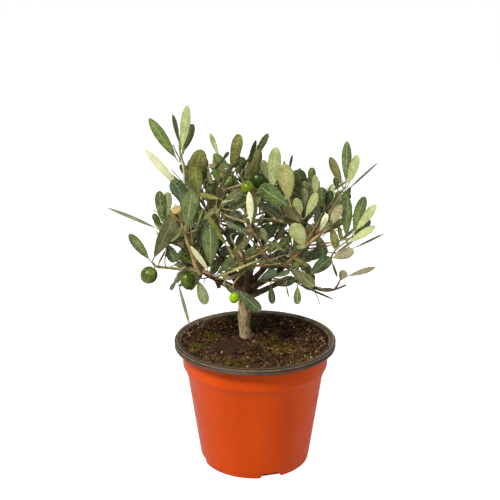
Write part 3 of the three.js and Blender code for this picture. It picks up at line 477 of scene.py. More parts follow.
        "edge_out": Seen((352, 249), (384.5, 233.5), 5, -18, -4, 66, "mid"),
        "down_left": Seen((331, 224), (336.5, 250), 7.5, -14, 0, 20, "olive", "pale"),
        "down_right": Seen((338, 222), (341.5, 241), 4, -12, 0, 30, "olive", "pale"),
        "dark_small": Seen((300, 258.5), (308.5, 250.5), 7, -4, -2, 15, "deep", "pale"),
        "edge_low": Seen((304, 244), (318, 238.5), 4, -10, -2, 35, "fresh", "pale"),
        "cross_low": Seen((279, 253.5), (290, 249.5), 4, -8, -2, 30),
        "cross_under": Seen((279, 261), (290, 258), 4.4, -6, -2, 30),
        "dry_mid": Seen((313, 240), (308, 225.5), 8, -8, -3, 15, "dry", "rose"),
        "dark_low": Seen((317, 233), (324.5, 256.5), 8.8, -8, -2, 20, "deep", "pale"),
        "dark_mid": Seen((304, 262), (324, 249), 9, -4, -4, 20, "deep", "pale"),
        "wide_pale": Seen((304.5, 247.5), (293, 223.5), 12.5, -30, -4, 172, "mid", "pale"),
    },
    "right_low": {
        "dark": Seen((308.5, 276), (331, 257.5), 10.5, -20, -3, 10, "deep", "pale"),
        "rose": Seen((331, 258.5), (354, 251), 9, -20, -3, 165, "mid", "dull"),
        "edge": Seen((331.5, 260), (337, 277), 4, -20, 0, 62),
        "end_small": Seen((340, 281), (345, 270.5), 7, -17, 0, 165, "mid", "dull"),
        "end": Seen((346.5, 276.3), (375.5, 267.3), 5.6, -17, -4, 140, "mid", "dull"),
        "hanging_dark": Seen((270.5, 284), (272.5, 304), 5.8, -16, -2, 10),
        "hanging_hair": Seen((286, 284), (288.5, 297), 3, -16, 0, 66),
        "hanging_grey": Seen((297.5, 285), (297, 304.5), 6.4, -20, -2, 20, "mid"),
        "long_edge": Seen((299.5, 284.6), (334, 299.9), 4.6, -18, -8, 68),
        "olive": Seen((291, 268.5), (314.6, 286), 10, -16, -6, 15, "grey", "yellow"),
        "round_end": Seen((309, 287), (313.3, 274.5), 5.4, -12, -2, 20, "dry", "dull"),
        "along_bough": Seen((274, 277), (290, 271), 5, -14, -3, 25, "blue"),
        "shade_dark": Seen((272, 285.3), (295, 279), 8.4, -8, -4, 10),
        "shade_grey": Seen((258, 280), (277, 271), 7, -12, -4, 15, "blue"),
    },
}

# Sky that shows beside and through the crown: the pixel in the middle of each spot, and its radius
Spot = namedtuple("Spot", "across down radius")
SKY_SPOTS = {
    "left of the tall shoot": [
        Spot(150, 168, 12), Spot(160, 182, 8), Spot(166, 150, 7), Spot(174, 164, 5),
    ],
    "inside the tall shoot": [
        Spot(164, 128, 9), Spot(172, 140, 4), Spot(198, 130, 11), Spot(191, 153, 5),
    ],
    "beside its olive leaf": [
        Spot(208, 148, 7), Spot(209, 160, 3), Spot(167, 198, 4), Spot(178, 174, 3),
    ],
    "between the top leaves": [
        Spot(222, 145, 8), Spot(247, 146, 6), Spot(270, 148, 3), Spot(285, 152, 8),
    ],
    "outside the crown": [
        Spot(286, 131, 5), Spot(372, 150, 11), Spot(387, 162, 5), Spot(317, 156, 5), Spot(148, 211, 4),
        Spot(149, 226, 4), Spot(166, 261, 4), Spot(329, 241, 4), Spot(186, 158, 3), Spot(265, 156, 3),
        Spot(272, 141, 3), Spot(231, 138, 3), Spot(170, 203, 2.5), Spot(378, 200, 4), Spot(352, 212, 2.5),
        Spot(184, 160, 2), Spot(331, 299, 7), Spot(291.5, 287.5, 3), Spot(170, 278, 3.5),
        Spot(210, 281.5, 3), Spot(149, 218, 3.5), Spot(264.5, 131, 2.5), Spot(257, 136, 3),
        Spot(353.5, 199.5, 3), Spot(331, 243, 3.5), Spot(226, 154, 3), Spot(277, 125, 5),
        Spot(277, 137, 4), Spot(237, 129, 4), Spot(341, 266, 3), Spot(177, 202, 2), Spot(183, 289, 2),
        Spot(374, 236, 2.5),
    ],
    "between the top and the right": [
        Spot(298, 158, 9), Spot(306, 165, 5), Spot(305, 173, 3), Spot(325, 168, 9), Spot(326, 182, 5),
        Spot(337, 165, 3),
    ],
    "right of the right shoot": [
        Spot(366, 185, 12), Spot(354, 180, 5), Spot(354, 205, 3), Spot(385, 212, 10),
    ],
    "between the leaves on the right": [
        Spot(328, 237, 3.5), Spot(331, 248, 4), Spot(342, 233, 2), Spot(352, 223, 2.5), Spot(362, 240, 3),
        Spot(365, 258, 9), Spot(380, 250, 8),
    ],
    "round the bare twig": [
        Spot(324, 278, 9), Spot(333, 266, 3), Spot(347, 262, 6), Spot(320, 257, 4), Spot(313, 263, 3),
    ],
    "low on the left": [
        Spot(135, 222, 8), Spot(150, 240, 9), Spot(159, 252, 4), Spot(177, 250, 3.5), Spot(162, 276, 5),
    ],
    "left of the paired leaves": [Spot(150, 200, 8), Spot(172, 207, 2)],
    "under the crown": [
        Spot(255, 295, 6), Spot(262, 290, 5), Spot(280, 297, 6), Spot(308, 300, 8), Spot(218, 296, 8),
        Spot(225, 304, 6), Spot(186, 300, 3), Spot(165, 296, 8), Spot(172, 270, 3),
    ],
    "through the middle": [
        Spot(203, 204, 2.4), Spot(223.5, 225, 3), Spot(242, 212, 1.6), Spot(256.5, 222.5, 2),
        Spot(264, 223, 1.2), Spot(258, 209, 2), Spot(286.5, 226, 1.6), Spot(288, 239, 1.6),
        Spot(312, 220, 2), Spot(314, 246, 2), Spot(252, 273, 3), Spot(272, 275, 2), Spot(221, 256, 1.5),
        Spot(213.5, 176, 1.4), Spot(235, 172, 1.6),
    ],
}

# Bare twigs that the photo shows, by pixels from their foot to their tip: their depth at the foot
# and how much nearer the tip is, their radius at each, and their tint
SeenTwig = namedtuple("SeenTwig", "pixels near lean root tip tint")
SEEN_TWIGS = {
    "left_low": [
        SeenTwig(
            [(201, 273), (191, 270.5), (181.5, 269.3), (166, 267.6), (156.5, 266.4), (152, 262)],
            -12, -8, 1.5, 1.0, "green",
        ),
        SeenTwig(
            [(200, 275), (194.7, 264), (191.9, 253.5), (187, 242), (184.2, 231.5), (181.5, 223)],
            -12, 0, 1.9, 0.9, "amber",
        ),
        SeenTwig([(185, 267), (181, 270.5), (177, 276.5), (177.5, 282)], -17, -4, 0.9, 0.6, "green"),
        SeenTwig([(203, 271), (207, 272.5), (212, 275)], -12, -3, 1.9, 1.2, "tan"),
        SeenTwig([(195.5, 263), (199, 252), (202, 240), (203.5, 229)], -14, 0, 0.6, 0.45, "green"),
        SeenTwig([(165.8, 267.5), (164.8, 261), (166.2, 252)], -19, 2, 0.6, 0.45, "green"),
        SeenTwig([(158.4, 266.5), (160, 259.5), (165.2, 252)], -20, 3, 0.6, 0.45, "green"),
    ],
    "right_low": [
        SeenTwig(
            [(298, 279), (307, 283), (315, 288), (326, 290.8), (336, 289), (346, 285)],
            -14, -3, 1.5, 0.8, "brown",
        ),
        SeenTwig([(334.5, 289.5), (338, 284.5), (340.5, 279)], -16, 0, 1.0, 0.6, "brown"),
    ],
    "front": [
        SeenTwig(
            [(272, 262), (266, 257), (262, 247), (259, 241), (253, 231), (248, 224), (246, 219)],
            -18, -20, 1.5, 0.7, "tan",
        ),
        SeenTwig([(262, 218.5), (270, 219), (281, 221.5), (291, 225)], -30, 10, 0.6, 0.4, "green"),
        SeenTwig([(258, 228), (251, 222), (243, 219)], -32, -8, 0.6, 0.4, "green"),
    ],
    "upper_left": [
        SeenTwig(
            [(188, 204), (184.6, 190), (184, 172), (182.2, 161), (181.6, 149)],
            9, -4, 1.2, 0.6, "cream",
        ),
    ],
    "top": [
        SeenTwig(
            [(272, 217), (265, 208), (257, 198), (250, 191), (243, 184)],
            -18, -8, 0.8, 0.5, "green",
        ),
    ],
    "right": [
        SeenTwig([(309.5, 243), (315, 238), (322, 232.5), (330, 227)], -14, -3, 1.4, 1.0, "amber"),
        SeenTwig(
            [(330.5, 258.5), (335, 250.5), (343, 244), (350, 238.5), (355, 232)],
            -20, 2, 0.9, 0.6, "green",
        ),
        SeenTwig([(284, 267), (293, 258), (301, 250), (310, 242.5)], -8, -6, 1.9, 1.4, "tan"),
    ],
}

# Olives: the pixels where the stalk starts, where it meets the fruit and of the fruit's far end,
# how near the front it hangs, how wide it is, and its skin
SeenFruit = namedtuple("SeenFruit", "foot top end near wide skin")
SEEN_FRUIT = {
    "left_low": {
        "far": SeenFruit((157, 266), (154, 268), (144, 282), -22, 13.8, "mottled"),
        "near": SeenFruit((181.5, 270.5), (186, 272), (190, 289.5), -15, 12.2, "green"),
    },
    "front": {"pale": SeenFruit((223, 283.5), (236, 292.5), (232.5, 303), -28, 8.2, "lime")},
    "top": {
        # The lit olive's skin is painted light, and the shaded olive's skin painted shade.
        "lit": SeenFruit((262, 203), (252, 191.5), (242.5, 183), -26, 10.4, "lit"),
        "shaded": SeenFruit((263, 192), (259, 189), (257, 171.5), -14, 12, "dark"),
    },
    "upper_left": {"grey": SeenFruit((223, 191), (227, 188), (230.5, 176.5), -5, 9.6, "grey")},
}


SKY = np.array([0.0, 0.0, 1.0])
SIGHT = np.array([0.12, 1.0, 0.2])
AROUND = np.vstack([np.eye(3), -np.eye(3), np.zeros((1, 3))])


# The growth rule
def seeded(seed):
    state = [seed & 0xFFFFFFFF]

    def draw(low, high):
        state[0] = (state[0] + 0x6D2B79F5) & 0xFFFFFFFF
        mixed = ((state[0] ^ (state[0] >> 15)) * (state[0] | 1)) & 0xFFFFFFFF
        mixed ^= (mixed + (((mixed ^ (mixed >> 7)) * (mixed | 61)) & 0xFFFFFFFF)) & 0xFFFFFFFF
        return low + (high - low) * ((mixed ^ (mixed >> 14)) & 0xFFFFFFFF) / 4294967296

    return draw


def unit(vector):
    return vector / np.linalg.norm(vector)


def heading(bearing, rise):
    level = math.cos(math.radians(rise))
    turn = math.radians(bearing)
    return np.array([math.cos(turn) * level, math.sin(turn) * level, math.sin(math.radians(rise))])


class Line:
    """The line of a limb: points along it, and its direction at each."""

    def __init__(self, start, limb, steps=LIMB_STEPS, swing=0.0):
        self.long = limb.long
        self.points = [np.array(start, float)]
        self.ways = []
        for i in range(steps):
            share = (i + 0.5) / steps
            way = heading(limb.bearing + swing * share, limb.rise + limb.lift * share)
            self.ways.append(way)
            self.points.append(self.points[-1] + way * limb.long / steps)
        self.ways.append(heading(limb.bearing + swing, limb.rise + limb.lift))

    def along(self, share):
        last = len(self.points) - 1
        i = min(last - 1, int(share * last))
        part = share * last - i
        at = self.points[i] * (1 - part) + self.points[i + 1] * part
        return at, unit(self.ways[i] * (1 - part) + self.ways[i + 1] * part)

    def samples(self):
        count = math.ceil(self.long / PITCH)
        return np.array([self.along(i / count)[0] for i in range(count + 1)])


def square_to(way):
    side = unit(np.cross(way, SIGHT))
    return side, np.cross(way, side)


def taper(root, tip):
    return lambda share: root + (tip - root) * share


def trunk_radius(share):
    radius = taper(TRUNK_RADIUS, TRUNK_TIP_RADIUS)(share) + ROOT_FLARE * math.exp(-share / FLARE_FADE)
    for swelling in TRUNK_SWELLINGS.values():
        radius += swelling.height * math.exp(-(((share - swelling.at) / swelling.long) ** 2))
    return radius


class Space:
    """Sample points of what has grown already, for keeping new twigs and leaves clear of it."""

    def __init__(self):
        self.points = np.zeros((SPACE_POINTS, 3))
        self.owners = np.zeros(SPACE_POINTS, int)
        self.spare = np.zeros(SPACE_POINTS)
        self.count = 0

    def take(self, samples, owner, spare=0.0):
        end = self.count + len(samples)
        self.points[self.count:end] = samples
        self.owners[self.count:end] = OWNERS.index(owner)
        self.spare[self.count:end] = spare
        self.count = end

    def crowded(self, samples, owner, root, room):
        """Whether samples come too near to others, or to their own mass away from their root."""
        middle = samples[len(samples) // 2]
        reach = np.linalg.norm(samples - middle, axis=1).max() + room.between + LARGEST_SPARE
        away = self.points[: self.count] - middle
        near = np.flatnonzero(np.einsum("ij,ij->i", away, away) < reach * reach)
        own = self.owners[near] == OWNERS.index(owner)
        own_root = own & (np.linalg.norm(self.points[near] - root, axis=1) < room.root_zone)
        near, own = near[~own_root], own[~own_root]
        if len(near) == 0:
            return False
        apart = np.linalg.norm(self.points[near][:, None] - samples[None], axis=2).min(axis=1)
        return bool((apart < np.where(own, room.within, room.between) + self.spare[near]).any())


# Lines of sight of the photo's camera
PITCH_DOWN = math.radians(CAMERA_PITCH)
AHEAD = np.array([0, math.cos(PITCH_DOWN), -math.sin(PITCH_DOWN)])
UPWARD = np.array([0, math.sin(PITCH_DOWN), math.cos(PITCH_DOWN)])
FOCUS = PHOTO_WIDE * CAMERA_LENS / CAMERA_SENSOR


def sight(pixel, near):
    """The place behind a pixel of the photo, at a depth along Y."""
    right, up = (pixel[0] - PHOTO_WIDE / 2) / FOCUS, (PHOTO_WIDE / 2 - pixel[1]) / FOCUS
    way = AHEAD + np.array([right, 0, 0]) + UPWARD * up
    return CAMERA_PLACE + way * (near - CAMERA_PLACE[1]) / way[1]


def picture(points):
    """The pixels of points, and how far off each is."""
    away = points - CAMERA_PLACE
    depth = away @ AHEAD
    across, down = FOCUS * away[:, 0] / depth, FOCUS * (away @ UPWARD) / depth
    return np.stack([PHOTO_WIDE / 2 + across, PHOTO_WIDE / 2 - down], axis=1), depth


# Leaves as the rule gives them
Blade = namedtuple("Blade", "at lead face across long wide arch twist fold upper under")


def blade(at, lead, towards, long, wide, arch, draw, tones):
    face = unit(towards - lead * towards.dot(lead))
    twist = math.radians(draw(*BLADE_TWIST))
    fold = draw(*BLADE_FOLD)
    return Blade(at, lead, face, np.cross(face, lead), long, wide, arch, twist, fold, *tones)


def deal_tones(draw):
    upper = UPPER_TONES[int(draw(0, len(UPPER_TONES)))]
    return upper, UNDER_TONES[int(draw(0, len(UNDER_TONES)))]


def on_blade(leaf, share, sideways):
    half = leaf.wide / 2 * math.sin(math.pi * min(1, share)) ** 0.7
    drop = leaf.long * leaf.arch * share * share
    return leaf.at + leaf.lead * leaf.long * share - leaf.face * drop + leaf.across * half * sideways


def blade_samples(leaf):
    count = math.ceil(leaf.long * 0.9 / PITCH)
    shares = [0.1 + 0.9 * i / count for i in range(count + 1)]
    return np.array([on_blade(leaf, share, side) for share in shares for side in (-1, 0, 1)])


def paired_blade(twig, line, share, turn, draw, fine):
    """A leaf of a pair at a share of a twig, turned round it, with a finer twig's leaf smaller."""
    at, way = line.along(min(share, 0.999))
    side, other = square_to(way)
    angle = math.radians(turn + draw(*TURN_SWAY))
    spread = math.radians(SPREAD_LOW + (SPREAD_TOP - SPREAD_LOW) * share + draw(*SPREAD_SWAY))
    out = side * math.cos(angle) + other * math.sin(angle)
    lead = unit(way * math.cos(spread) + out * math.sin(spread) + SKY * LEAD_SKYWARD)
    towards = way * math.sin(spread) - out * math.cos(spread) + SKY * SKYWARD
    towards = towards + np.array([draw(*FACE_SWAY), draw(*FACE_SWAY), 0])
    long = twig.leaf * (0.78 + 0.3 * math.sin(math.pi * (0.25 + 0.6 * share))) * draw(*LENGTH_SHARE)
    ratio = LEAF_RATIO * draw(*WIDTH_SHARE)
    if fine:
        long, ratio = long * FINE_LENGTH, ratio * FINE_WIDTH
    return blade(at, lead, towards, long, long * ratio, draw(*ARCH_SHARE), draw, deal_tones(draw))


def seen_blade(item, draw):
    """A leaf between the two pixels where the photo shows its root and its tip."""
    root, tip = sight(item.root, item.near), sight(item.tip, item.near + item.lean)
    lead, long = unit(tip - root), np.linalg.norm(tip - root)
    towards = unit(CAMERA_PLACE - root)
    face = unit(towards - lead * towards.dot(lead))
    roll = math.radians(item.roll)
    turned_face = face * math.cos(roll) + np.cross(lead, face) * math.sin(roll)
    lead = unit(tip + turned_face * long * SEEN_ARCH - root)
    wide = item.wide * SEEN_WIDTH
    leaf = blade(root, lead, turned_face, long, wide, SEEN_ARCH, draw, (item.upper, item.under))
    return leaf._replace(twist=leaf.twist * 0.4, fold=leaf.fold * 0.5)


# Twigs as the rule gives them
def side_twig(shoot, line, number, draw, reach=SIDE_LENGTH):
    share = 0.18 + 0.3 * number + draw(0, 0.12)
    at, way = line.along(min(share, 0.95))
    side, other = square_to(way)
    flip = 180 if draw(0, 1) > 0.5 else 0
    angle = math.radians(shoot.turn + 90 * number + flip + draw(*SIDE_SWAY))
    across = side * math.cos(angle) + other * math.sin(angle)
    out = unit(way * 0.72 + across * 0.7 + SKY * 0.25)
    bearing = math.degrees(math.atan2(out[1], out[0]))
    rise = math.degrees(math.asin(out[2]))
    long = shoot.long * draw(*reach) + 6
    lift = draw(*SIDE_LIFT)
    swing = draw(*SIDE_SWING)
    leaf = shoot.leaf * draw(*SIDE_LEAF)
    twig = Limb(share, bearing, rise, long, lift, SIDE_PAIRS, leaf, draw(0, 180), 0.4, 0)
    return twig, Line(at, twig, swing=swing)


Twig = namedtuple("Twig", "limb line root tip tint")
Spray = namedtuple("Spray", "stem shoots twigs leaves stalks fruit bare")

OWNERS = ["wood"] + list(MASSES)
trunk_line = Line(TRUNK_FOOT, TRUNK, 16)
trunk_line.ways[0] = SKY.copy()
bough_lines = {name: Line(trunk_line.along(b.limb.start)[0], b.limb) for name, b in BOUGHS.items()}
space = Space()


def take_limb(line, radius_at):
    count = max(2, math.ceil(line.long / 6))
    for i in range(count):
        ends = [line.along((i + part) / count)[0] for part in (0, 0.5, 1)]
        space.take(np.array(ends), "wood", spare=radius_at((i + 0.5) / count))


take_limb(trunk_line, trunk_radius)
for name, bough in BOUGHS.items():
    take_limb(bough_lines[name], taper(bough.root, bough.tip))

mass_boxes = {name: np.array(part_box("foliage_" + name)) / MM for name in MASSES}
crown_low = np.min([low for low, _ in mass_boxes.values()], axis=0)
crown_high = np.max([high for _, high in mass_boxes.values()], axis=0)


def inside_reach(samples, name):
    """Whether samples stay in the crown, and near the space of the mass that they grow in."""
    low, high = mass_boxes[name]
    low = np.maximum(low - INWARD_REACH, crown_low)
    high = np.minimum(high + INWARD_REACH, crown_high)
    return bool((samples >= low).all() and (samples <= high).all())


def grow_twigs(name, mass, number):
    """The stem, shoots and side twigs of a mass, as in the source."""
    draw = seeded(100 + number)
    line = bough_lines[mass.bough]
    stem = Line(line.points[-1], mass.stem)
    stem.ways[0] = line.ways[-1].copy()
    space.take(stem.samples(), name)
    shoots, twigs = [], []
    for shoot in mass.shoots:
        root = stem.along(shoot.start)[0]
        shoot_line = Line(root, shoot, swing=draw(*SHOOT_SWING))
        shoots.append(shoot_line)
        space.take(shoot_line.samples(), name)
        twigs.append(Twig(shoot, shoot_line, TWIG_RADIUS * 1.1, TWIG_TIP_RADIUS, "tan"))
        for i in range(shoot.sides):
            limb, side = side_twig(shoot, shoot_line, i, draw)
            points = side.samples()
            if not space.crowded(points, name, side.points[0], TWIG_ROOM):
                space.take(points, name)
                twigs.append(Twig(limb, side, TWIG_RADIUS * 0.85, TWIG_TIP_RADIUS, "green"))
    return Spray(stem, shoots, twigs, [], [], [], [])


def arc(foot, bend, top, steps):
    """Points along a curve from foot to top that leaves and comes in by way of a bend."""
    return [foot * (1 - t) ** 2 + bend * 2 * t * (1 - t) + top * t ** 2 for t in np.linspace(0, 1, steps)]


def drawn_twig(item):
    """A round-cornered line through the pixels of a bare twig."""
    corners = []
    for i, pixel in enumerate(item.pixels):
        corners.append(sight(pixel, item.near + item.lean * i / (len(item.pixels) - 1)))
    ends = [corners[0] * 2 - corners[1]] + corners + [corners[-1] * 2 - corners[-2]]
    line = []
    for i in range(1, len(ends) - 2):
        before, start, end, after = ends[i - 1: i + 3]
        square = 2 * before - 5 * start + 4 * end - after
        cube = 3 * (start - end) + after - before
        for t in np.linspace(0, 1, 5)[: None if i == len(ends) - 3 else 4]:
            bend = square * t ** 2 + cube * t ** 3
            line.append(0.5 * (2 * start + (end - before) * t + bend))
    return np.array(line)


def stalk_to(spray, root, lead):
    """A fine stalk that leaves the nearest limb of a spray and bends into the way of a leaf."""
    lines = [spray.stem, *spray.shoots, *(twig.line for twig in spray.twigs)]
    shares = [min(share, 0.999) for share in np.linspace(0.15, 1, 14)]
    feet = np.array([line.along(share)[0] for line in lines for share in shares])
    feet = np.vstack([feet] + [line[1:] for line, _ in spray.bare])
    away = np.linalg.norm(feet - root, axis=1)
    foot, far = feet[away.argmin()], away.min()
    if far >= SHORTEST_STALK:
        line = arc(foot, root - lead * min(far * 0.35, 5), root, 7)
        spray.stalks.append((np.array(line + [root + lead * 1.5]), STALK_RADIUS + 0.03 * far))


def spoils_view(samples):
    """Whether samples hide a leaf or fruit that the photo shows, or close a spot of sky."""
    pixels, depths = picture(samples)
    to_spot = np.linalg.norm(spot_places[:, None] - pixels[None], axis=2)
    if (to_spot < spot_reach[:, None] + SPOT_EDGE).any():
        return True
    over = np.linalg.norm(view_points[:, None] - pixels[None], axis=2) < VIEW_PIXELS
    return bool((over & (depths[None] < view_depths[:, None] - VIEW_DEPTH)).any())


def grow_pairs(name, spray, twig, fine=False):
    """Opposite pairs along one twig, each pair square to the last, closer to the twig near its tip."""
    limb, line = twig.limb, twig.line
    room, seed = (FINE_LEAF_ROOM, FINE_LEAF_SEED) if fine else (LEAF_ROOM, LEAF_SEED)
    placed = 0
    for pair in range(limb.pairs + 1):
        share = limb.first + (1 - limb.first) * pair / max(1, limb.pairs)
        for partner in range(2):
            grow_pairs.count += 1
            draw = seeded(seed * grow_pairs.count)
            for attempt in range(LEAF_TRIES):
                turn = limb.turn + 90 * (pair % 2) + 180 * partner + attempt * TURN_PER_TRY
                leaf = paired_blade(limb, line, share, turn, draw, fine)
                points = blade_samples(leaf)
                if points[:, 2].min() < LOWEST_LEAF or (fine and not inside_reach(points, name)):
                    continue
                if spoils_view(points) or space.crowded(points, name, leaf.at, room):
                    continue
                space.take(points, name)
                spray.leaves.append(leaf)
                placed += 1
                break
    return placed


grow_pairs.count = 0


def grow_fine_twigs(name, mass, spray, number):
    """Finer twigs than the source has, on the stem, the shoots and the bough."""
    draw = seeded(900 + number)
    bases = [(mass.stem._replace(leaf=32, turn=draw(0, 180)), spray.stem)]
    bases += list(zip(mass.shoots, spray.shoots))
    bases += [(Limb(0, 0, 0, 52, leaf=36, turn=draw(0, 180)), bough_lines[mass.bough])]
    fine = []
    for limb, line in bases:
        for i in range(FINE_TWIGS):
            side_limb, side = side_twig(limb, line, i * FINE_STEP, draw, FINE_TWIG_LENGTH)
            points = side.samples()
            if not inside_reach(points, name) or spoils_view(points):
                continue
            if space.crowded(points, name, side.points[0], FINE_TWIG_ROOM):
                continue
            space.take(points, name)
            fine.append(Twig(side_limb, side, TWIG_RADIUS * 0.75, TWIG_TIP_RADIUS * 0.9, "green"))
    spray.twigs.extend(fine)
    return fine


def place_bare_twigs():
    for name, row in SEEN_TWIGS.items():
        for item in row:
            line = drawn_twig(item)
            sprays[name].bare.append((line, item))
            space.take(line, name)


def hang_fruit():
    """The fruit, and what the photo shows of each."""
    shown = []
    for name, row in SEEN_FRUIT.items():
        for item in row.values():
            foot, top, end = (sight(pixel, item.near) for pixel in (item.foot, item.top, item.end))
            sprays[name].fruit.append((item, foot, top, end))
            space.take((top + end) / 2 + AROUND * item.wide / 2, name, spare=1.0)
            middle = ((item.top[0] + item.end[0]) / 2, (item.top[1] + item.end[1]) / 2)
            shown.append(picture(sight(middle, item.near) + AROUND * item.wide * 0.4))
    return shown


def place_seen_leaves():
    """The leaves that the photo shows, and what it shows of each."""
    shown = []
    for number, (name, row) in enumerate(SEEN.items()):
        draw = seeded(500 + number)
        for item in row.values():
            leaf = seen_blade(item, draw)
            stalk_to(sprays[name], leaf.at, leaf.lead)
            samples = blade_samples(leaf)
            space.take(samples, name)
            sprays[name].leaves.append(leaf)
            shown.append(picture(samples[len(samples) // 4:]))
    return shown


def drop_bare(spray, grown, twig):
    """A side twig on which no leaf found room isn't kept."""
    if not grown and not any(twig.line is line for line in spray.shoots):
        spray.twigs.remove(twig)


# Twigs, then the fruit and the leaves that the photo shows, then the rest by the rule
sprays = {name: grow_twigs(name, mass, number) for number, (name, mass) in enumerate(MASSES.items())}
place_bare_twigs()
in_view = hang_fruit() + place_seen_leaves()
view_points = np.vstack([pixels for pixels, _ in in_view])
view_depths = np.concatenate([depths for _, depths in in_view])
spots = [spot for group in SKY_SPOTS.values() for spot in group]
spot_places = np.array([(spot.across, spot.down) for spot in spots])
spot_reach = np.array([spot.radius for spot in spots])

for name, spray in sprays.items():
    for twig in list(spray.twigs):
        drop_bare(spray, grow_pairs(name, spray, twig), twig)

for number, (name, mass) in enumerate(MASSES.items()):
    for twig in grow_fine_twigs(name, mass, sprays[name], number):
        drop_bare(sprays[name], grow_pairs(name, sprays[name], twig, fine=True), twig)


# Finishes
def tint(red, green, blue):
    """A display colour, 0 to 255, as the linear colour that a shader takes."""
    def linear(value):
        value /= 255
        return value / 12.92 if value <= 0.04045 else ((value + 0.055) / 1.055) ** 2.4
    return (linear(red), linear(green), linear(blue), 1.0)


class Graph:
    """Short ways to add and join the nodes of one tree."""

    def __init__(self, tree):
        self.tree = tree

    def add(self, kind, settings=None, **inputs):
        node = self.tree.nodes.new(kind)
        for key, value in (settings or {}).items():
            setattr(node, key, value)
        for key, value in inputs.items():
            self.feed(node, key.replace("_", " "), value)
        return node

    def feed(self, node, socket, value):
        target = node.inputs[int(socket[1:])] if socket[0] == "#" else node.inputs[socket]
        if isinstance(value, bpy.types.NodeSocket):
            self.tree.links.new(value, target)
        else:
            target.default_value = value

    def noise(self, vector, scale, detail=3.0):
        node = self.add("ShaderNodeTexNoise", Vector=vector, Scale=scale, Detail=detail, Roughness=0.55)
        return node.outputs["Fac"]

    def ramp(self, value, low, high):
        node = self.add("ShaderNodeMapRange", Value=value, From_Min=low, From_Max=high)
        return node.outputs["Result"]

    def mix(self, share, first, second):
        inputs = {"#0": share, "#6": first, "#7": second}
        return self.add("ShaderNodeMix", {"data_type": "RGBA"}, **inputs).outputs[2]

    def laid(self, mask, share, ground, colour):
        """A colour laid over the ground by a share of a mask."""
        return self.mix(self.times(mask, share), ground, colour)

    def shades(self, share, stops):
        """Colours along a share from 0 to 1, each stop a share and a tint."""
        node = self.add("ShaderNodeValToRGB", Fac=share)
        elements = node.color_ramp.elements
        while len(elements) < len(stops):
            elements.new(1.0)
        for element, (at, colour) in zip(elements, stops):
            element.position = at
            element.color = tint(*colour)
        return node.outputs["Color"]

    def maths(self, operation, first, second=0.0):
        inputs = {"#0": first, "#1": second}
        return self.add("ShaderNodeMath", {"operation": operation}, **inputs).outputs[0]

    def times(self, first, second):
        return self.maths("MULTIPLY", first, second)

    def plus(self, first, second):
        return self.maths("ADD", first, second)

    def stretch(self, vector, scale):
        node = self.add("ShaderNodeMapping", Vector=vector)
        node.inputs["Scale"].default_value = scale
        return node.outputs["Vector"]


def effect(name, build, inputs, outputs):
    """A node group with named sockets. build gets its graph and its inputs and gives its outputs."""
    tree = bpy.data.node_groups.new(name, "ShaderNodeTree")
    for label, value in inputs.items():
        plain = "NodeSocketColor" if value else "NodeSocketVector"
        kind = "NodeSocketFloat" if isinstance(value, float) else plain
        socket = tree.interface.new_socket(name=label, in_out="INPUT", socket_type=kind)
        if value is not None:
            socket.default_value = value
    for label, kind in outputs.items():
        tree.interface.new_socket(name=label, in_out="OUTPUT", socket_type="NodeSocket" + kind)
    graph = Graph(tree)
    entry, leave = tree.nodes.new("NodeGroupInput"), tree.nodes.new("NodeGroupOutput")
    for label, value in build(graph, entry.outputs).items():
        tree.links.new(value, leave.inputs[label])
    return tree


def build_mottle(graph, given):
    cloud = graph.noise(given["Vector"], given["Scale"], 5.0)
    mask = graph.ramp(cloud, given["From"], given["To"])
    return {"Colour": graph.mix(mask, given["First"], given["Second"]), "Mask": mask}


def build_specks(graph, given):
    cells = graph.add("ShaderNodeTexVoronoi", Vector=given["Vector"], Scale=given["Scale"])
    near = graph.ramp(cells.outputs["Distance"], given["Size"], graph.times(given["Size"], 0.6))
    pick = graph.add("ShaderNodeSeparateColor", Color=cells.outputs["Color"]).outputs["Red"]
    some = graph.maths("LESS_THAN", pick, given["Share"])
    return {"Colour": graph.laid(near, some, given["Ground"], given["Speck"])}


def build_relief(graph, given):
    cloud = graph.noise(given["Vector"], given["Scale"], 6.0)
    bump = graph.add("ShaderNodeBump", Strength=1.0, Height=cloud)
    graph.feed(bump, "Distance", given["Depth"])
    return {"Normal": bump.outputs["Normal"]}


def build_leaf_skin(graph, given):
    """Rib, side veins, streaks, blotches and grain of a leaf, and painted shade in patches and along its
    edge, from its own map.
    """
    place, dark, rib_tone = given["Place"], given["Dark"], given["Rib"]
    parts = graph.add("ShaderNodeSeparateXYZ", Vector=given["Map"]).outputs
    off = graph.maths("ABSOLUTE", graph.maths("SUBTRACT", parts["Y"], 0.5))
    slant = graph.plus(graph.times(parts["X"], 60), graph.times(off, -38))
    veins = graph.ramp(graph.maths("SINE", slant), 0.8, 1.0)
    blotch = graph.ramp(graph.noise(place, 85.0, 4.0), 0.38, 0.64)
    colour = graph.mix(blotch, given["Blade"], given["Blotch"])
    spread = {"#0": place, "#1": (25, 25, 25), "#2": graph.stretch(given["Map"], (3, 16, 1))}
    own = graph.add("ShaderNodeVectorMath", {"operation": "MULTIPLY_ADD"}, **spread).outputs["Vector"]
    streaks = graph.ramp(graph.noise(own, 1.6, 4.0), 0.42, 0.64)
    colour = graph.laid(streaks, 0.5, colour, given["Blotch"])
    # Painted shade in cloudy patches over the leaves.
    shade = graph.ramp(graph.noise(place, 48.0, 2.0), 0.62, 0.36)
    colour = graph.laid(shade, 0.42, colour, dark)
    colour = graph.laid(veins, 0.2, colour, rib_tone)
    grain = graph.noise(place, 620.0, 3.0)
    colour = graph.laid(graph.ramp(grain, 0.5, 0.68), 0.34, colour, rib_tone)
    colour = graph.laid(graph.ramp(grain, 0.5, 0.34), 0.5, colour, dark)
    # Painted shade along the leaf's edge.
    colour = graph.laid(graph.ramp(off, 0.34, 0.47), 0.4, colour, dark)
    return {"Colour": graph.laid(graph.ramp(off, 0.05, 0.012), given["Rib Share"], colour, rib_tone)}


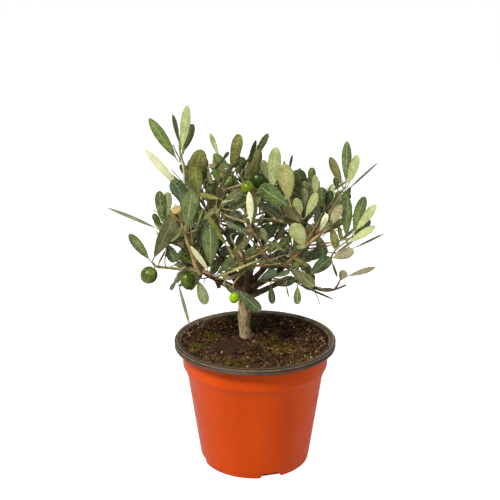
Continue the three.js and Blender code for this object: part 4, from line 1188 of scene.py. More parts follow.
DARK = (0, 0, 0, 1)
MOTTLE = effect(
    "mottle", build_mottle,
    {"Vector": None, "Scale": 40.0, "From": 0.35, "To": 0.65, "First": LIGHT, "Second": DARK},
    {"Colour": "Color", "Mask": "Float"})
SPECKS = effect(
    "specks", build_specks,
    {"Vector": None, "Scale": 400.0, "Size": 0.3, "Share": 0.5, "Ground": DARK, "Speck": LIGHT},
    {"Colour": "Color"})
RELIEF = effect(
    "relief", build_relief, {"Vector": None, "Scale": 400.0, "Depth": 0.0005}, {"Normal": "Vector"})
LEAF_SKIN = effect(
    "leaf skin", build_leaf_skin,
    {"Map": None, "Place": None, "Blade": DARK, "Blotch": DARK, "Dark": DARK, "Rib": LIGHT,
     "Rib Share": 0.8},
    {"Colour": "Color"})


class Finish(Graph):
    """A material with one Principled shader."""

    def __init__(self, name, **settings):
        self.material = bpy.data.materials.new(name)
        self.material.use_nodes = True
        super().__init__(self.material.node_tree)
        self.shader = self.tree.nodes["Principled BSDF"]
        self.place = self.add("ShaderNodeTexCoord").outputs["Object"]
        self.set(**settings)

    def set(self, **settings):
        for key, value in settings.items():
            self.feed(self.shader, key.replace("_", " "), value)

    def use(self, effect_tree, output="Colour", **inputs):
        return self.add("ShaderNodeGroup", {"node_tree": effect_tree}, **inputs).outputs[output]

    def mottled(self, vector, scale, first, second, low=0.35, high=0.65):
        """A cloudy mix of two display colours."""
        tones = {"First": tint(*first), "Second": tint(*second)}
        return self.use(MOTTLE, Vector=vector, Scale=scale, From=low, To=high, **tones)

    def clouds(self, scale, low, high):
        """The mask of a cloudy mix."""
        return self.use(MOTTLE, "Mask", Vector=self.place, Scale=scale, From=low, To=high)

    def specked(self, ground, speck, scale, size, share):
        """Some of many small specks over a ground."""
        tones = {"Ground": ground, "Speck": tint(*speck)}
        return self.use(SPECKS, Vector=self.place, Scale=scale, Size=size, Share=share, **tones)

    def relief(self, vector, scale, depth):
        return self.use(RELIEF, "Normal", Vector=vector, Scale=scale, Depth=depth)

    def value_of(self, label):
        """A value that the piece's own mesh carries."""
        return self.add("ShaderNodeAttribute", {"attribute_name": label}).outputs["Fac"]


def pot_plastic():
    finish = Finish("pot_terracotta", IOR=1.5, Specular_IOR_Level=0.09)
    drawn = finish.stretch(finish.place, (1.0, 1.0, 0.22))
    ground = finish.mottled(drawn, 30.0, (190, 62, 0), (206, 72, 0), 0.3, 0.7)
    dusty = finish.clouds(60.0, 0.5, 0.8)
    colour = finish.laid(dusty, 0.2, ground, tint(186, 68, 6))
    rough = finish.plus(finish.times(dusty, 0.16), 0.36)
    finish.set(Base_Color=colour, Roughness=rough, Normal=finish.relief(drawn, 120.0, 0.00018))
    return finish.material


# The rim's shades from the soil outwards, by share of the way over its top, and up its outer face
# The pale bands on the ridges are painted highlight and soil dust; the darkest, in the grooves and where the
# rim turns over, are painted shade.
RIM_TOP_SHADES = [
    (0.0, (82, 58, 34)), (0.1, (49, 36, 24)), (0.17, (143, 116, 80)), (0.3, (103, 84, 58)),
    (0.36, (22, 16, 11)), (0.5, (29, 22, 15)), (0.58, (96, 79, 55)), (0.84, (113, 94, 66)),
    (0.9, (21, 15, 10)),
]
RIM_SIDE_SHADES = [
    (0.0, (51, 30, 18)), (0.2, (96, 62, 41)), (0.45, (82, 54, 35)), (0.52, (22, 15, 11)),
    (0.64, (34, 26, 18)), (0.72, (124, 104, 74)), (0.9, (94, 77, 55)), (1.0, (43, 34, 24)),
]


def pot_black():
    """The black lining and rim: bare plastic inside; on the rim, painted highlight and soil dust on the
    ridges, painted shade in the grooves.
    """
    finish = Finish("pot_black", IOR=1.5, Specular_IOR_Level=0.35)
    place = finish.place
    flat = {"#0": finish.stretch(place, (1.0, 1.0, 0.0))}
    out = finish.add("ShaderNodeVectorMath", {"operation": "LENGTH"}, **flat).outputs["Value"]
    height = finish.add("ShaderNodeSeparateXYZ", Vector=place).outputs["Z"]
    top = finish.shades(finish.ramp(out, 0.0635, 0.0694), RIM_TOP_SHADES)
    side = finish.shades(finish.ramp(height, 0.1052, 0.1108), RIM_SIDE_SHADES)
    rim = finish.mix(finish.ramp(out, 0.0692, 0.0695), top, side)
    wall = finish.mottled(place, 90.0, (34, 27, 22), (92, 72, 52), 0.4, 0.6)
    colour = finish.mix(finish.ramp(out, 0.0640, 0.0644), wall, rim)
    dark = finish.clouds(110.0, 0.42, 0.66)
    colour = finish.laid(dark, 0.55, colour, tint(46, 38, 31))
    dust = finish.specked(colour, (120, 98, 72), 420.0, 0.28, 0.2)
    rough = finish.plus(finish.times(dark, 0.25), 0.38)
    finish.set(Base_Color=dust, Roughness=rough, Normal=finish.relief(place, 300.0, 0.0002))
    return finish.material


def earth(name, dark, light, speck, share):
    """Earth or dry plant stuff: two shades, some specks, and a coarse grain."""
    finish = Finish(name, Specular_IOR_Level=0.1)
    ground = finish.mottled(finish.place, 150.0, dark, light)
    finish.ground = finish.specked(ground, speck, 480.0, 0.42, share)
    uneven = finish.ramp(finish.noise(finish.place, 300.0), 0.0, 1.6)
    rough = finish.maths("SUBTRACT", 1.0, finish.times(uneven, 0.3))
    finish.set(Base_Color=finish.ground, Roughness=rough, Normal=finish.relief(finish.place, 750.0, 0.0009))
    return finish


def compost_finish():
    """Earth painted near black in its pits and in the hollow as painted shade, and olive brown where moss
    stains it, by the bed's own values.
    """
    finish = earth("compost", (30, 20, 12), (78, 55, 34), (138, 104, 66), 0.22)
    even = finish.mottled(finish.place, 300.0, (44, 29, 17), (62, 42, 27))
    ground = finish.laid(finish.value_of("smoothness"), 0.85, finish.ground, even)
    patchy = finish.ramp(finish.noise(finish.place, 240.0), 0.4, 0.6)
    ground = finish.laid(finish.value_of("moss"), patchy, ground, tint(88, 76, 22))
    # Painted shade: near black in the pits and the hollow, by the bed's first value.
    finish.set(Base_Color=finish.mix(finish.value_of("pit_shade"), ground, tint(10, 6, 4)))
    return finish.material


def bark_finish():
    """Pale bark low down and darker above the fork, with painted shade on the right and darker bark at the
    foot.
    """
    finish = Finish("bark", Specular_IOR_Level=0.25)
    grain = finish.stretch(finish.place, (1.0, 1.0, 0.25))
    parts = finish.add("ShaderNodeSeparateXYZ", Vector=finish.place).outputs
    tan = finish.mottled(grain, 420.0, (160, 128, 86), (226, 200, 150))
    patches = {"First": tan, "Second": tint(186, 164, 122)}
    grey = finish.use(MOTTLE, Vector=finish.place, Scale=150.0, From=0.45, To=0.62, **patches)
    dark = finish.mottled(grain, 300.0, (68, 44, 23), (136, 100, 62), 0.35, 0.7)
    wander = finish.times(finish.noise(finish.place, 120.0), 0.02)
    colour = finish.mix(finish.ramp(finish.plus(parts["Z"], wander), 0.146, 0.160), grey, dark)
    # Painted shade: the wood is darker on its right side.
    painted_shade_right = finish.ramp(finish.plus(parts["X"], wander), 0.0005, 0.0040)
    colour = finish.laid(painted_shade_right, 0.6, colour, tint(62, 46, 28))
    colour = finish.laid(finish.ramp(parts["Z"], 0.113, 0.106), 0.6, colour, tint(78, 54, 34))
    cracks = finish.ramp(finish.noise(grain, 700.0, 5.0), 0.54, 0.38)
    colour = finish.laid(cracks, 0.8, colour, tint(44, 31, 20))
    rough = finish.plus(finish.times(cracks, 0.2), 0.72)
    finish.set(Base_Color=colour, Roughness=rough, Normal=finish.relief(grain, 900.0, 0.0006))
    return finish.material


def twig_finish(name, first, second):
    finish = Finish(name, Roughness=0.6)
    colour = finish.mottled(finish.place, 180.0, first, second, 0.4, 0.6)
    colour = finish.specked(colour, (120, 92, 62), 900.0, 0.35, 0.25)
    finish.set(Base_Color=colour, Normal=finish.relief(finish.place, 1200.0, 0.0003))
    return finish.material


def leaf_finish(name, shades, rib_share):
    """A leaf's face: its blade, its lighter blotches, its rib, and how dark its painted shade is, along the
    edge and in patches.
    """
    finish = Finish(name, IOR=1.45)
    body = tint(*shades.body)
    tones = {"Blade": body, "Blotch": tint(*shades.blotch), "Rib": tint(*shades.rib), "Rib Share": rib_share}
    tones["Dark"] = tuple(part * shades.depth for part in body[:3]) + (1,)
    leaf_map = finish.add("ShaderNodeUVMap", {"uv_map": "leaf"}).outputs["UV"]
    colour = finish.use(LEAF_SKIN, Map=leaf_map, Place=finish.place, **tones)
    patchy = finish.ramp(finish.noise(finish.place, 160.0), 0.3, 0.7)
    rough = finish.plus(finish.times(patchy, 0.16), shades.rough)
    finish.set(Base_Color=colour, Roughness=rough, Normal=finish.relief(finish.place, 700.0, 0.00025))
    return finish.material


def olive_finish(name, first, second, speck):
    finish = Finish(name, Roughness=0.3, Specular_IOR_Level=0.28)
    finish.set(Subsurface_Weight=0.12, Subsurface_Scale=0.002)
    colour = finish.mottled(finish.place, 150.0, first, second)
    dots = finish.specked(colour, speck, 620.0, 0.3, 0.6)
    finish.set(Base_Color=dots, Normal=finish.relief(finish.place, 500.0, 0.00015))
    return finish.material


# Shades of each finish, as display colours: dark, light, speck and the share of specks
EARTH_SHADES = {
    "crumb_dark": ((24, 15, 9), (68, 44, 25), (104, 74, 44), 0.2),
    "crumb_rust": ((62, 36, 18), (116, 78, 44), (150, 112, 70), 0.3),
    "crumb_tan": ((120, 88, 52), (180, 144, 98), (212, 184, 138), 0.3),
    "fibre": ((110, 82, 48), (164, 130, 84), (190, 160, 114), 0.3),
    "straw": ((150, 128, 84), (198, 176, 128), (214, 196, 156), 0.3),
    "moss": ((56, 50, 10), (106, 92, 22), (134, 120, 40), 0.3),
    "sprout": ((40, 62, 22), (66, 92, 38), (100, 118, 62), 0.2),
}
TWIG_SHADES = {
    "tan": ((104, 78, 48), (158, 124, 82)),
    "green": ((98, 88, 50), (144, 128, 80)),
    "brown": ((62, 40, 24), (104, 74, 48)),
    "amber": ((134, 100, 52), (178, 142, 88)),
    "cream": ((196, 184, 136), (214, 204, 164)),
}
LeafShades = namedtuple("LeafShades", "body blotch rib rough depth")
LeafShades.__new__.__defaults__ = (0.4,)
UPPER_SHADES = {
    "deep": LeafShades((38, 50, 22), (82, 98, 50), (132, 144, 88), 0.36),
    "mid": LeafShades((64, 82, 32), (124, 142, 78), (168, 178, 116), 0.38),
    "blue": LeafShades((66, 84, 52), (116, 130, 90), (152, 162, 117), 0.4),
    "olive": LeafShades((90, 90, 32), (138, 134, 67), (160, 156, 92), 0.42),
    "lime": LeafShades((92, 98, 29), (146, 146, 68), (172, 172, 97), 0.42),
    "fresh": LeafShades((56, 80, 20), (116, 136, 63), (160, 174, 106), 0.34),
    "grey": LeafShades((80, 84, 41), (126, 126, 76), (150, 150, 101), 0.46),
    "sheen": LeafShades((32, 54, 12), (86, 112, 50), (150, 166, 98), 0.38),
    "bright": LeafShades((88, 102, 54), (146, 158, 98), (192, 198, 142), 0.4),
    "dry": LeafShades((84, 70, 38), (120, 104, 61), (140, 120, 76), 0.5, 0.6),
    "old": LeafShades((128, 96, 42), (166, 138, 74), (190, 172, 104), 0.5, 0.7),
}
UNDER_SHADES = {
    "pale": LeafShades((142, 150, 84), (184, 190, 128), (206, 210, 152), 0.6, 0.6),
    "silver": LeafShades((112, 116, 70), (158, 162, 112), (188, 190, 142), 0.6, 0.55),
    "yellow": LeafShades((132, 128, 62), (176, 172, 104), (200, 196, 130), 0.6, 0.6),
    "rose": LeafShades((132, 122, 82), (178, 172, 126), (200, 194, 150), 0.6, 0.6),
    "dull": LeafShades((104, 96, 65), (150, 142, 103), (166, 158, 117), 0.6, 0.65),
    "cream": LeafShades((204, 204, 148), (226, 226, 180), (234, 232, 192), 0.6, 0.7),
    "old": LeafShades((164, 138, 56), (200, 180, 86), (214, 200, 117), 0.6, 0.7),
}
OLIVE_SHADES = {
    "mottled": ((44, 60, 8), (106, 122, 40), (158, 168, 98)),
    "grey": ((70, 84, 30), (118, 132, 64), (144, 154, 96)),
    "green": ((30, 44, 2), (88, 106, 12), (128, 140, 44)),
    # The lit skin is a lighter copy of the green, as painted light; the dark skin a darker copy, as painted
    # shade.
    "lit": ((48, 74, 0), (118, 138, 2), (160, 172, 30)),
    "dark": ((14, 24, 0), (46, 66, 2), (84, 102, 22)),
    "lime": ((112, 148, 0), (142, 176, 0), (172, 198, 30)),
}

TERRACOTTA = pot_plastic()
BLACK = pot_black()
COMPOST = compost_finish()
BARK = bark_finish()
EARTH = {name: earth(name, *shades).material for name, shades in EARTH_SHADES.items()}
TWIG = {name: twig_finish("twig_" + name, *shades) for name, shades in TWIG_SHADES.items()}
UPPER = {name: leaf_finish("leaf_" + name, shades, 0.7) for name, shades in UPPER_SHADES.items()}
UNDER = {name: leaf_finish("leaf_under_" + name, shades, 0.4) for name, shades in UNDER_SHADES.items()}
OLIVES = {name: olive_finish("olive_" + name, *shades) for name, shades in OLIVE_SHADES.items()}


# Ways of making pieces
def only(piece):
    bpy.ops.object.select_all(action="DESELECT")
    piece.select_set(True)
    bpy.context.view_layer.objects.active = piece


def started(primitive, **settings):
    """A new primitive, with nothing else selected."""
    bpy.ops.object.select_all(action="DESELECT")
    primitive(**settings)
    return bpy.context.active_object


def finished(piece, kind, **settings):
    """A modifier applied to a piece."""
    only(piece)
    modifier = piece.modifiers.new(kind.lower(), kind)
    for key, value in settings.items():
        setattr(modifier, key, value)
    bpy.ops.object.modifier_apply(modifier=modifier.name)


def set_down(piece):
    """The piece's place goes into its mesh, and its object to the origin."""
    only(piece)
    bpy.ops.object.transform_apply(location=True, rotation=True, scale=True)
    return piece


def joined(pieces):
    """Pieces as one, under the first one's name."""
    only(pieces[0])
    for piece in pieces[1:]:
        piece.select_set(True)
    if len(pieces) > 1:
        bpy.ops.object.join()
    return pieces[0]


def hand_in(piece, name, nodes):
    piece.name = name
    piece.data.name = name
    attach(piece, "root")
    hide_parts(*nodes)


def painted(piece, material):
    piece.data.materials.clear()
    piece.data.materials.append(material)
    return piece


def smooth(piece, angle=None):
    only(piece)
    if angle is None:
        bpy.ops.object.shade_smooth()
    else:
        bpy.ops.object.shade_smooth_by_angle(angle=math.radians(angle))
    return piece


def arrays_of(piece):
    """A modelled template's points in millimetres, its faces and their materials. It is removed."""
    points = np.array([vertex.co[:] for vertex in piece.data.vertices]) / MM
    faces = np.array([tuple(face.vertices) for face in piece.data.polygons])
    kinds = np.array([face.material_index for face in piece.data.polygons])
    bpy.data.objects.remove(piece)
    return points, faces, kinds


class Bundle:
    """Many small things that become one mesh: points in millimetres, faces and material numbers."""

    def __init__(self):
        self.points, self.faces, self.kinds, self.maps = [], [], [], []

    def add(self, points, faces, kinds=0):
        self.points.append(points)
        self.faces.append(faces)
        self.kinds.append(np.broadcast_to(kinds, len(faces)))

    def piece(self, materials, leaf_map=None):
        """The mesh. leaf_map is laid on every one of the things."""
        starts = np.cumsum([0] + [len(points) for points in self.points[:-1]])
        faces = np.vstack([part + start for part, start in zip(self.faces, starts)])
        mesh = bpy.data.meshes.new("bundle")
        mesh.from_pydata((np.vstack(self.points) * MM).tolist(), [], faces.tolist())
        for material in materials:
            mesh.materials.append(material)
        mesh.polygons.foreach_set("material_index", np.concatenate(self.kinds).astype(np.int32))
        if leaf_map is not None:
            corners = np.tile(leaf_map, (len(self.points), 1))[faces.ravel()]
            layer = mesh.uv_layers.new(name="leaf")
            layer.data.foreach_set("uv", corners.astype(np.float32).ravel())
        mesh.validate()
        piece = bpy.data.objects.new("bundle", mesh)
        bpy.context.scene.collection.objects.link(piece)
        return piece


def tube(points, radius_at, sides):
    """The rings and quads of a round twig through points, and the caps as folded quads."""
    points = np.array(points)
    ways = np.gradient(points, axis=0)
    steep = abs(ways[0][0]) >= 0.8 * np.linalg.norm(ways[0])
    side = np.array([0, 1.0, 0]) if steep else np.array([1.0, 0, 0])
    turns = 2 * np.pi * np.arange(sides) / sides
    rings = []
    for i, (centre, way) in enumerate(zip(points, ways)):
        way = unit(way)
        side = unit(side - way * side.dot(way))
        ring = np.outer(np.cos(turns), side) + np.outer(np.sin(turns), np.cross(way, side))
        rings.append(centre + radius_at(i / (len(points) - 1)) * ring)
    last = (len(points) - 1) * sides
    faces = []
    for start in range(0, last, sides):
        for j in range(sides):
            n = (j + 1) % sides
            faces.append((start + j, start + n, start + sides + n, start + sides + j))
    foot, top = last + sides, last + sides + 1
    for j in range(0, sides - 1, 2):
        faces.append((foot, (j + 2) % sides, (j + 1) % sides, j))
        faces.append((top, last + j, last + (j + 1) % sides, last + (j + 2) % sides))
    return np.vstack(rings + [points[:1], points[-1:]]), np.array(faces)


# Camera, floor and light
def make_view():
    data = bpy.data.cameras.new("camera")
    data.lens = CAMERA_LENS
    data.sensor_width = CAMERA_SENSOR
    data.clip_end = 20
    camera = bpy.data.objects.new("camera", data)
    camera.location = Vector(CAMERA_PLACE) * MM
    camera.rotation_euler = (math.radians(90 - CAMERA_PITCH), 0, 0)
    bpy.context.scene.collection.objects.link(camera)
    bpy.context.scene.camera = camera


def seen_by_camera(graph, seen, lighting):
    """One strength for what the camera sees and another for the light that it gives."""
    ray = graph.add("ShaderNodeLightPath").outputs["Is Camera Ray"]
    return graph.plus(graph.times(ray, seen - lighting), lighting)


def make_stage():
    """A white floor and a white surround that light less than they show."""
    floor = started(bpy.ops.mesh.primitive_circle_add, vertices=64, radius=8, fill_type="NGON")
    floor.name = "floor"
    paint = Finish("floor_white", Roughness=1.0, Specular_IOR_Level=0.0)
    glow = seen_by_camera(paint, 0.9, FLOOR_LIGHT)
    paint.set(Base_Color=(0.4, 0.4, 0.4, 1), Emission_Color=LIGHT, Emission_Strength=glow)
    floor.data.materials.append(paint.material)
    world = bpy.data.worlds.new("studio")
    world.use_nodes = True
    graph = Graph(world.node_tree)
    surround = world.node_tree.nodes["Background"]
    graph.feed(surround, "Color", LIGHT)
    graph.feed(surround, "Strength", seen_by_camera(graph, 1.0, SURROUND_LIGHT))
    bpy.context.scene.world = world


def hang_softbox(name, box):
    data = bpy.data.lights.new(name, "AREA")
    data.shape = "RECTANGLE"
    data.size, data.size_y = box.size
    data.energy = box.power
    light = bpy.data.objects.new(name, data)
    light.location = box.place
    light.rotation_euler = (Vector(box.aim) - Vector(box.place)).to_track_quat("-Z", "Y").to_euler()
    bpy.context.scene.collection.objects.link(light)


make_view()
make_stage()
for name, box in SOFTBOXES.items():
    hang_softbox(name, box)
bpy.context.scene.view_settings.view_transform = "Standard"


# Pot
def turned(name, outline, steps):
    """A closed body from an outline of (radius, height) points that starts and ends on the axis."""
    piece = started(bpy.ops.mesh.primitive_circle_add, vertices=len(outline), radius=1)
    for vertex, (radius, height) in zip(piece.data.vertices, outline):
        vertex.co = Vector((radius, 0, height)) * MM
    on_axis = {0, len(outline) - 1}
    for edge in piece.data.edges:
        edge.select = set(edge.vertices) == on_axis
    for vertex in piece.data.vertices:
        vertex.select = False
    bpy.ops.object.mode_set(mode="EDIT")
    bpy.ops.mesh.select_mode(type="EDGE")
    bpy.ops.mesh.delete(type="EDGE_FACE")
    bpy.ops.mesh.select_all(action="SELECT")
    bpy.ops.mesh.spin(steps=steps, angle=2 * math.pi, center=(0, 0, 0), axis=(0, 0, 1))
    bpy.ops.mesh.select_all(action="SELECT")
    bpy.ops.mesh.remove_doubles(threshold=0.000001)
    bpy.ops.mesh.normals_make_consistent(inside=False)
    bpy.ops.object.mode_set(mode="OBJECT")
    piece.name = name
    return piece


def drain_blocks():
    """Four wedges that cut the drain notches, narrower at the top."""
    place = (0, -(DRAIN_INNER + DRAIN_OUTER) / 2 * MM, (DRAIN_TALL - 1) / 2 * MM)
    blocks = []
    for number in range(DRAINS):
        block = started(bpy.ops.mesh.primitive_cube_add, size=1, location=place)
        block.scale = (DRAIN_WIDE * MM, (DRAIN_OUTER - DRAIN_INNER) * MM, (DRAIN_TALL + 1) * MM)
        set_down(block)
        for vertex in block.data.vertices:
            if vertex.co.z > 0:
                vertex.co.x *= DRAIN_WIDE_TOP / DRAIN_WIDE
        turn = math.radians(DRAIN_TURN + number * 360 / DRAINS)
        block.data.transform(Matrix.Rotation(turn, 4, "Z"))
        blocks.append(block)
    return joined(blocks)


SHELL_OUTSIDE = [
    (46.6, 0), (47.4, 0.35), (BASE_RADIUS, 1.2), (48.1, 4.6), (48.5, 5.2), (48.7, 6.2),
    (WALL_TOP_RADIUS, WALL_TOP), (59.6, 80.6), (60.4, 83), (60.8, 85), (62.2, 87.6), (62.9, 88.8),
    (63.0, 89.6), (COLLAR_RADIUS, RIM_FOOT),
]
RIM = [
    (62.75, 106.3), (63.6, 106.6), (68.2, 106.6), (68.7, 105.5), (69.4, 105.4), (69.9, 105.8),
    (RIM_RADIUS, 106.6), (69.9, 107.7), (69.35, 108.2), (69.35, 108.6), (69.9, 109.1), (RIM_RADIUS, 110),
    (69.5, 110.9), (68.6, RIM_TOP), (67.4, 111.1), (66.6, 110.7), (65.8, 110.9), (65.1, 110.8),
    (64.5, 110.2), (63.9, 108.4), (62.6, RIM_FOOT), (62.0, 103), (61.7, 90.2), (60.6, 87.6), (59.5, 85),
    (57.7, WALL_TOP), (46.3, SLAB_TOP + 0.5), (45.6, SLAB_TOP),
]


def inset_by(outline, inset):
    return [(radius - inset, max(height, inset)) for radius, height in outline]


def make_pot():
    """The terracotta shell outside, and the black lining with the rim inside it."""
    inside = inset_by(SHELL_OUTSIDE, SHELL)
    shell = turned("pot_shell", [(0, 0)] + SHELL_OUTSIDE + inside[::-1] + [(0, SHELL)], POT_STEPS)
    lining_foot = SHELL + LINING_GAP
    lining_out = inset_by(SHELL_OUTSIDE, lining_foot)
    lining = turned("pot_lining", [(0, lining_foot)] + lining_out + RIM + [(0, SLAB_TOP)], POT_STEPS)
    blocks = drain_blocks()
    sharp = math.radians(40)
    for piece in (shell, lining):
        finished(piece, "BOOLEAN", object=blocks, operation="DIFFERENCE", solver="EXACT")
        finished(piece, "BEVEL", width=0.25 * MM, segments=2, limit_method="ANGLE", angle_limit=sharp)
        smooth(piece, 40)
    bpy.data.objects.remove(blocks)
    hand_in(painted(shell, TERRACOTTA), "pot_shell", ["pot"])
    hand_in(painted(lining, BLACK), "pot_lining", ["pot"])


make_pot()


# Soil
def share_of(value):
    """A value kept between 0 and 1."""
    return min(1, max(0, value))


def bump(x, y, place):
    """How much of a round heap or patch lies at a place, 1 at its middle."""
    return math.exp(-((x - place.x) / place.wide) ** 2 - ((y - place.y) / place.deep) ** 2)


def from_trunk(x, y):
    return math.hypot(x - TRUNK_FOOT[0], y - TRUNK_FOOT[1])


def heap(x, y, place):
    return place.height * bump(x, y, place)


def soil_form(x, y):
    """The soil's main form, as in the source: mound, hollow and a bank at the back and the sides."""
    edge = (max(0, math.hypot(x, y) - BANK_FOOT) / (COLLAR_RADIUS - BANK_FOOT)) ** 2
    behind = share_of((y + 45) / 50)
    waves = 0.6 * math.sin(x / 5.5) * math.cos(y / 6.5)
    away = share_of((from_trunk(x, y) - 9) / 8)
    bank = edge * (BANK_HEIGHT * behind - 1)
    return SOIL_TOP + away * (heap(x, y, MOUND) + heap(x, y, HOLLOW) + bank + waves - 0.5)


def smoothness(x, y):
    """How smooth the soil is: 1 on the mound's even top, 0 elsewhere."""
    ragged = 0.22 * noise.noise(Vector((x / 5, y / 5, 3)))
    return share_of(1.45 * bump(x, y, EVEN_TOP) - 0.14 + ragged)


def lumps(x, y):
    """Clods, crumbs and grains over the form."""
    spot = Vector((x, y, 0))
    clods = (0.45 - noise.voronoi(spot / 4.6)[0][0]) * 2.0
    crumbs = (0.45 - noise.voronoi(spot / 1.9)[0][0]) * 1.5
    return (1 - 0.88 * smoothness(x, y)) * (clods + crumbs) + noise.noise(spot / 0.8) * 0.25


def soil_height(x, y):
    return soil_form(x, y) + lumps(x, y)


def moss_share(x, y):
    near = [math.hypot(x - bed_x, y - bed_y) / radius for bed_x, bed_y, radius in MOSS_BEDS]
    return share_of(1.6 - min(near))


def pit_shade_share(x, y):
    """How deep a place lies in the pits between lumps or in the hollow, for the painted shade that darkens
    it.
    """
    hollow = share_of(-heap(x, y, HOLLOW) / 4 - 0.25)
    return max(hollow, share_of(0.1 - lumps(x, y) * 0.75))


def make_soil():
    rings = [SOIL_RADIUS - SOIL_PITCH * i for i in range(int(SOIL_RADIUS / SOIL_PITCH))]
    outline = [(0, SLAB_TOP + 0.3), (45, SLAB_TOP + 0.4), (57.2, WALL_TOP)]
    outline += [(59, 85), (61.2, 90.6), (61.7, 102.5)]
    outline += [(radius, SOIL_TOP) for radius in rings] + [(0, SOIL_TOP)]
    soil = turned("soil_bed", outline, SOIL_STEPS)
    for vertex in soil.data.vertices:
        if vertex.co.z > (SOIL_TOP - 0.5) * MM:
            x, y = vertex.co.x / MM, vertex.co.y / MM
            height = soil_height(x, y)
            out = max(0, math.hypot(x, y) / SOIL_RADIUS - 0.9) * 10
            grow = 1 + out * max(0, height - RIM_FOOT) * WALL_LEAN / SOIL_RADIUS
            vertex.co = Vector((x * grow, y * grow, height)) * MM
    places = [(vertex.co.x / MM, vertex.co.y / MM) for vertex in soil.data.vertices]
    # The first value is the painted shade of the pits and the hollow.
    for label, value_at in {"pit_shade": pit_shade_share, "moss": moss_share, "smoothness": smoothness}.items():
        values = soil.data.attributes.new(label, "FLOAT", "POINT").data
        values.foreach_set("value", [value_at(x, y) for x, y in places])
    smooth(soil)
    hand_in(painted(soil, COMPOST), "soil_bed", ["soil"])


make_soil()


def scattered(count, seed, spread, clear=7.5):
    """Places on the soil, evenly at random, clear of the trunk, each with the draw for its thing."""
    draw = seeded(seed)
    places = []
    while len(places) < count:
        x, y = draw(-spread, spread), draw(-spread, spread)
        if math.hypot(x, y) <= spread and from_trunk(x, y) >= clear:
            places.append((x, y, draw))
    return places


def turn_at_random(draw):
    turn = Matrix.Rotation(draw(0, 2 * math.pi), 3, "Z") @ Matrix.Rotation(draw(0, 2 * math.pi), 3, "X")
    return np.array(turn)


def bright_share(x, y):
    """Where the pale crumbs lie: round the hollow's far side and along the wall on the right."""
    right_wall = math.exp(-((math.hypot(x, y) - 57) / 5) ** 2) * (x > 20)
    return max(0.1, bump(x, y, FAR_SIDE), right_wall, 0.3 * bump(x, y, BEFORE_TRUNK))


Crumbs = namedtuple("Crumbs", "finish count seed small large")
CRUMBS = {
    "soil_crumbs_dark": Crumbs("crumb_dark", 1000, 31, 0.5, 1.7),
    "soil_crumbs_rust": Crumbs("crumb_rust", 800, 32, 0.4, 1.3),
    "soil_crumbs_tan": Crumbs("crumb_tan", 1400, 33, 0.35, 1.3),
}


def make_crumbs():
    crumb = started(bpy.ops.mesh.primitive_ico_sphere_add, subdivisions=2, radius=1 * MM)
    for vertex in crumb.data.vertices:
        vertex.co *= 1 + 0.35 * noise.noise(vertex.co / MM * 1.7)
    blank, triangles, _ = arrays_of(crumb)
    for name, kind in CRUMBS.items():
        bundle = Bundle()
        for x, y, draw in scattered(kind.count, kind.seed, 61):
            chance = bright_share(x, y) if kind.finish == "crumb_tan" else 1
            in_hollow = heap(x, y, HOLLOW) < -2.5 and kind.finish != "crumb_dark"
            if draw(0, 1) > chance or smoothness(x, y) > draw(0.3, 0.9) or in_hollow:
                continue
            size = kind.small + (kind.large - kind.small) * draw(0, 1) ** 2
            shape = np.array([size, size * draw(0.55, 1), size * draw(0.4, 0.9)])
            place = np.array([x, y, soil_height(x, y) + size * 0.2])
            bundle.add((blank * shape) @ turn_at_random(draw).T + place, triangles)
        hand_in(bundle.piece([EARTH[kind.finish]]), name, ["soil"])


make_crumbs()


def make_fibres():
    bundle = Bundle()
    shares = np.linspace(0, 1, 6)
    for x, y, draw in scattered(110, 41, 58):
        if smoothness(x, y) > 0.6:
            continue
        bearing, long, bend = draw(0, 360), draw(2, 8), draw(-1.2, 1.2)
        way = np.array([math.cos(math.radians(bearing)), math.sin(math.radians(bearing))])
        square = np.array([-way[1], way[0]])
        spots = [np.array([x, y]) + way * long * t + square * bend * long * t * (1 - t) for t in shares]
        raised = draw(0.1, 1.2)
        heights = [0.3 + raised * math.sin(math.pi * t) for t in shares]
        if max(math.hypot(*spot) for spot in spots) <= 60.5:
            line = [(*spot, soil_height(*spot) + height) for spot, height in zip(spots, heights)]
            bundle.add(*tube(line, taper(draw(0.1, 0.22), 0.06), 4))
    hand_in(smooth(bundle.piece([EARTH["fibre"]])), "soil_fibres", ["soil"])


make_fibres()


def make_moss():
    bundle = Bundle()
    draw = seeded(51)
    for bed_x, bed_y, bed_radius in MOSS_BEDS:
        for _ in range(int(bed_radius * 22)):
            away, turn = bed_radius * math.sqrt(draw(0, 1)) * draw(0.6, 1), draw(0, 2 * math.pi)
            x, y = bed_x + away * math.cos(turn), bed_y + away * math.sin(turn)
            if math.hypot(x, y) > 60:
                continue
            lean = heading(draw(0, 360), draw(35, 90))
            foot = np.array([x, y, soil_height(x, y) - 0.2])
            tip = foot + lean * draw(0.8, 1.9)
            middle = (foot + tip) / 2 + SKY * 0.15
            bundle.add(*tube([foot, middle, tip], taper(draw(0.25, 0.4), 0.06), 4))
    hand_in(smooth(bundle.piece([EARTH["moss"]])), "soil_moss", ["soil"])


make_moss()


# Weed seedlings beside the trunk and dry straws by the rim on the left
Sprout = namedtuple("Sprout", "x y tall count")
SPROUTS = [Sprout(-19.5, 55, 8, 4), Sprout(-1, 40, 7, 5), Sprout(-50, 31, 4, 3)]
Straw = namedtuple("Straw", "x y bearing rise long")
STRAWS = [
    Straw(-50, 33, 128, 50, 12), Straw(-51, 31, 95, 70, 10), Straw(-49, 34, 40, 55, 11),
    Straw(-52, 29, 20, 35, 9), Straw(-58, 10, 110, 60, 10), Straw(-59, 8, 60, 45, 8),
    Straw(-57, 12, 150, 35, 9),
]


def in_soil(item):
    """The foot of something that stands in the soil."""
    return np.array([item.x, item.y, soil_height(item.x, item.y) - 0.3])


def sprout_radius(share):
    return 0.22 + 0.7 * math.sin(math.pi * share ** 2)


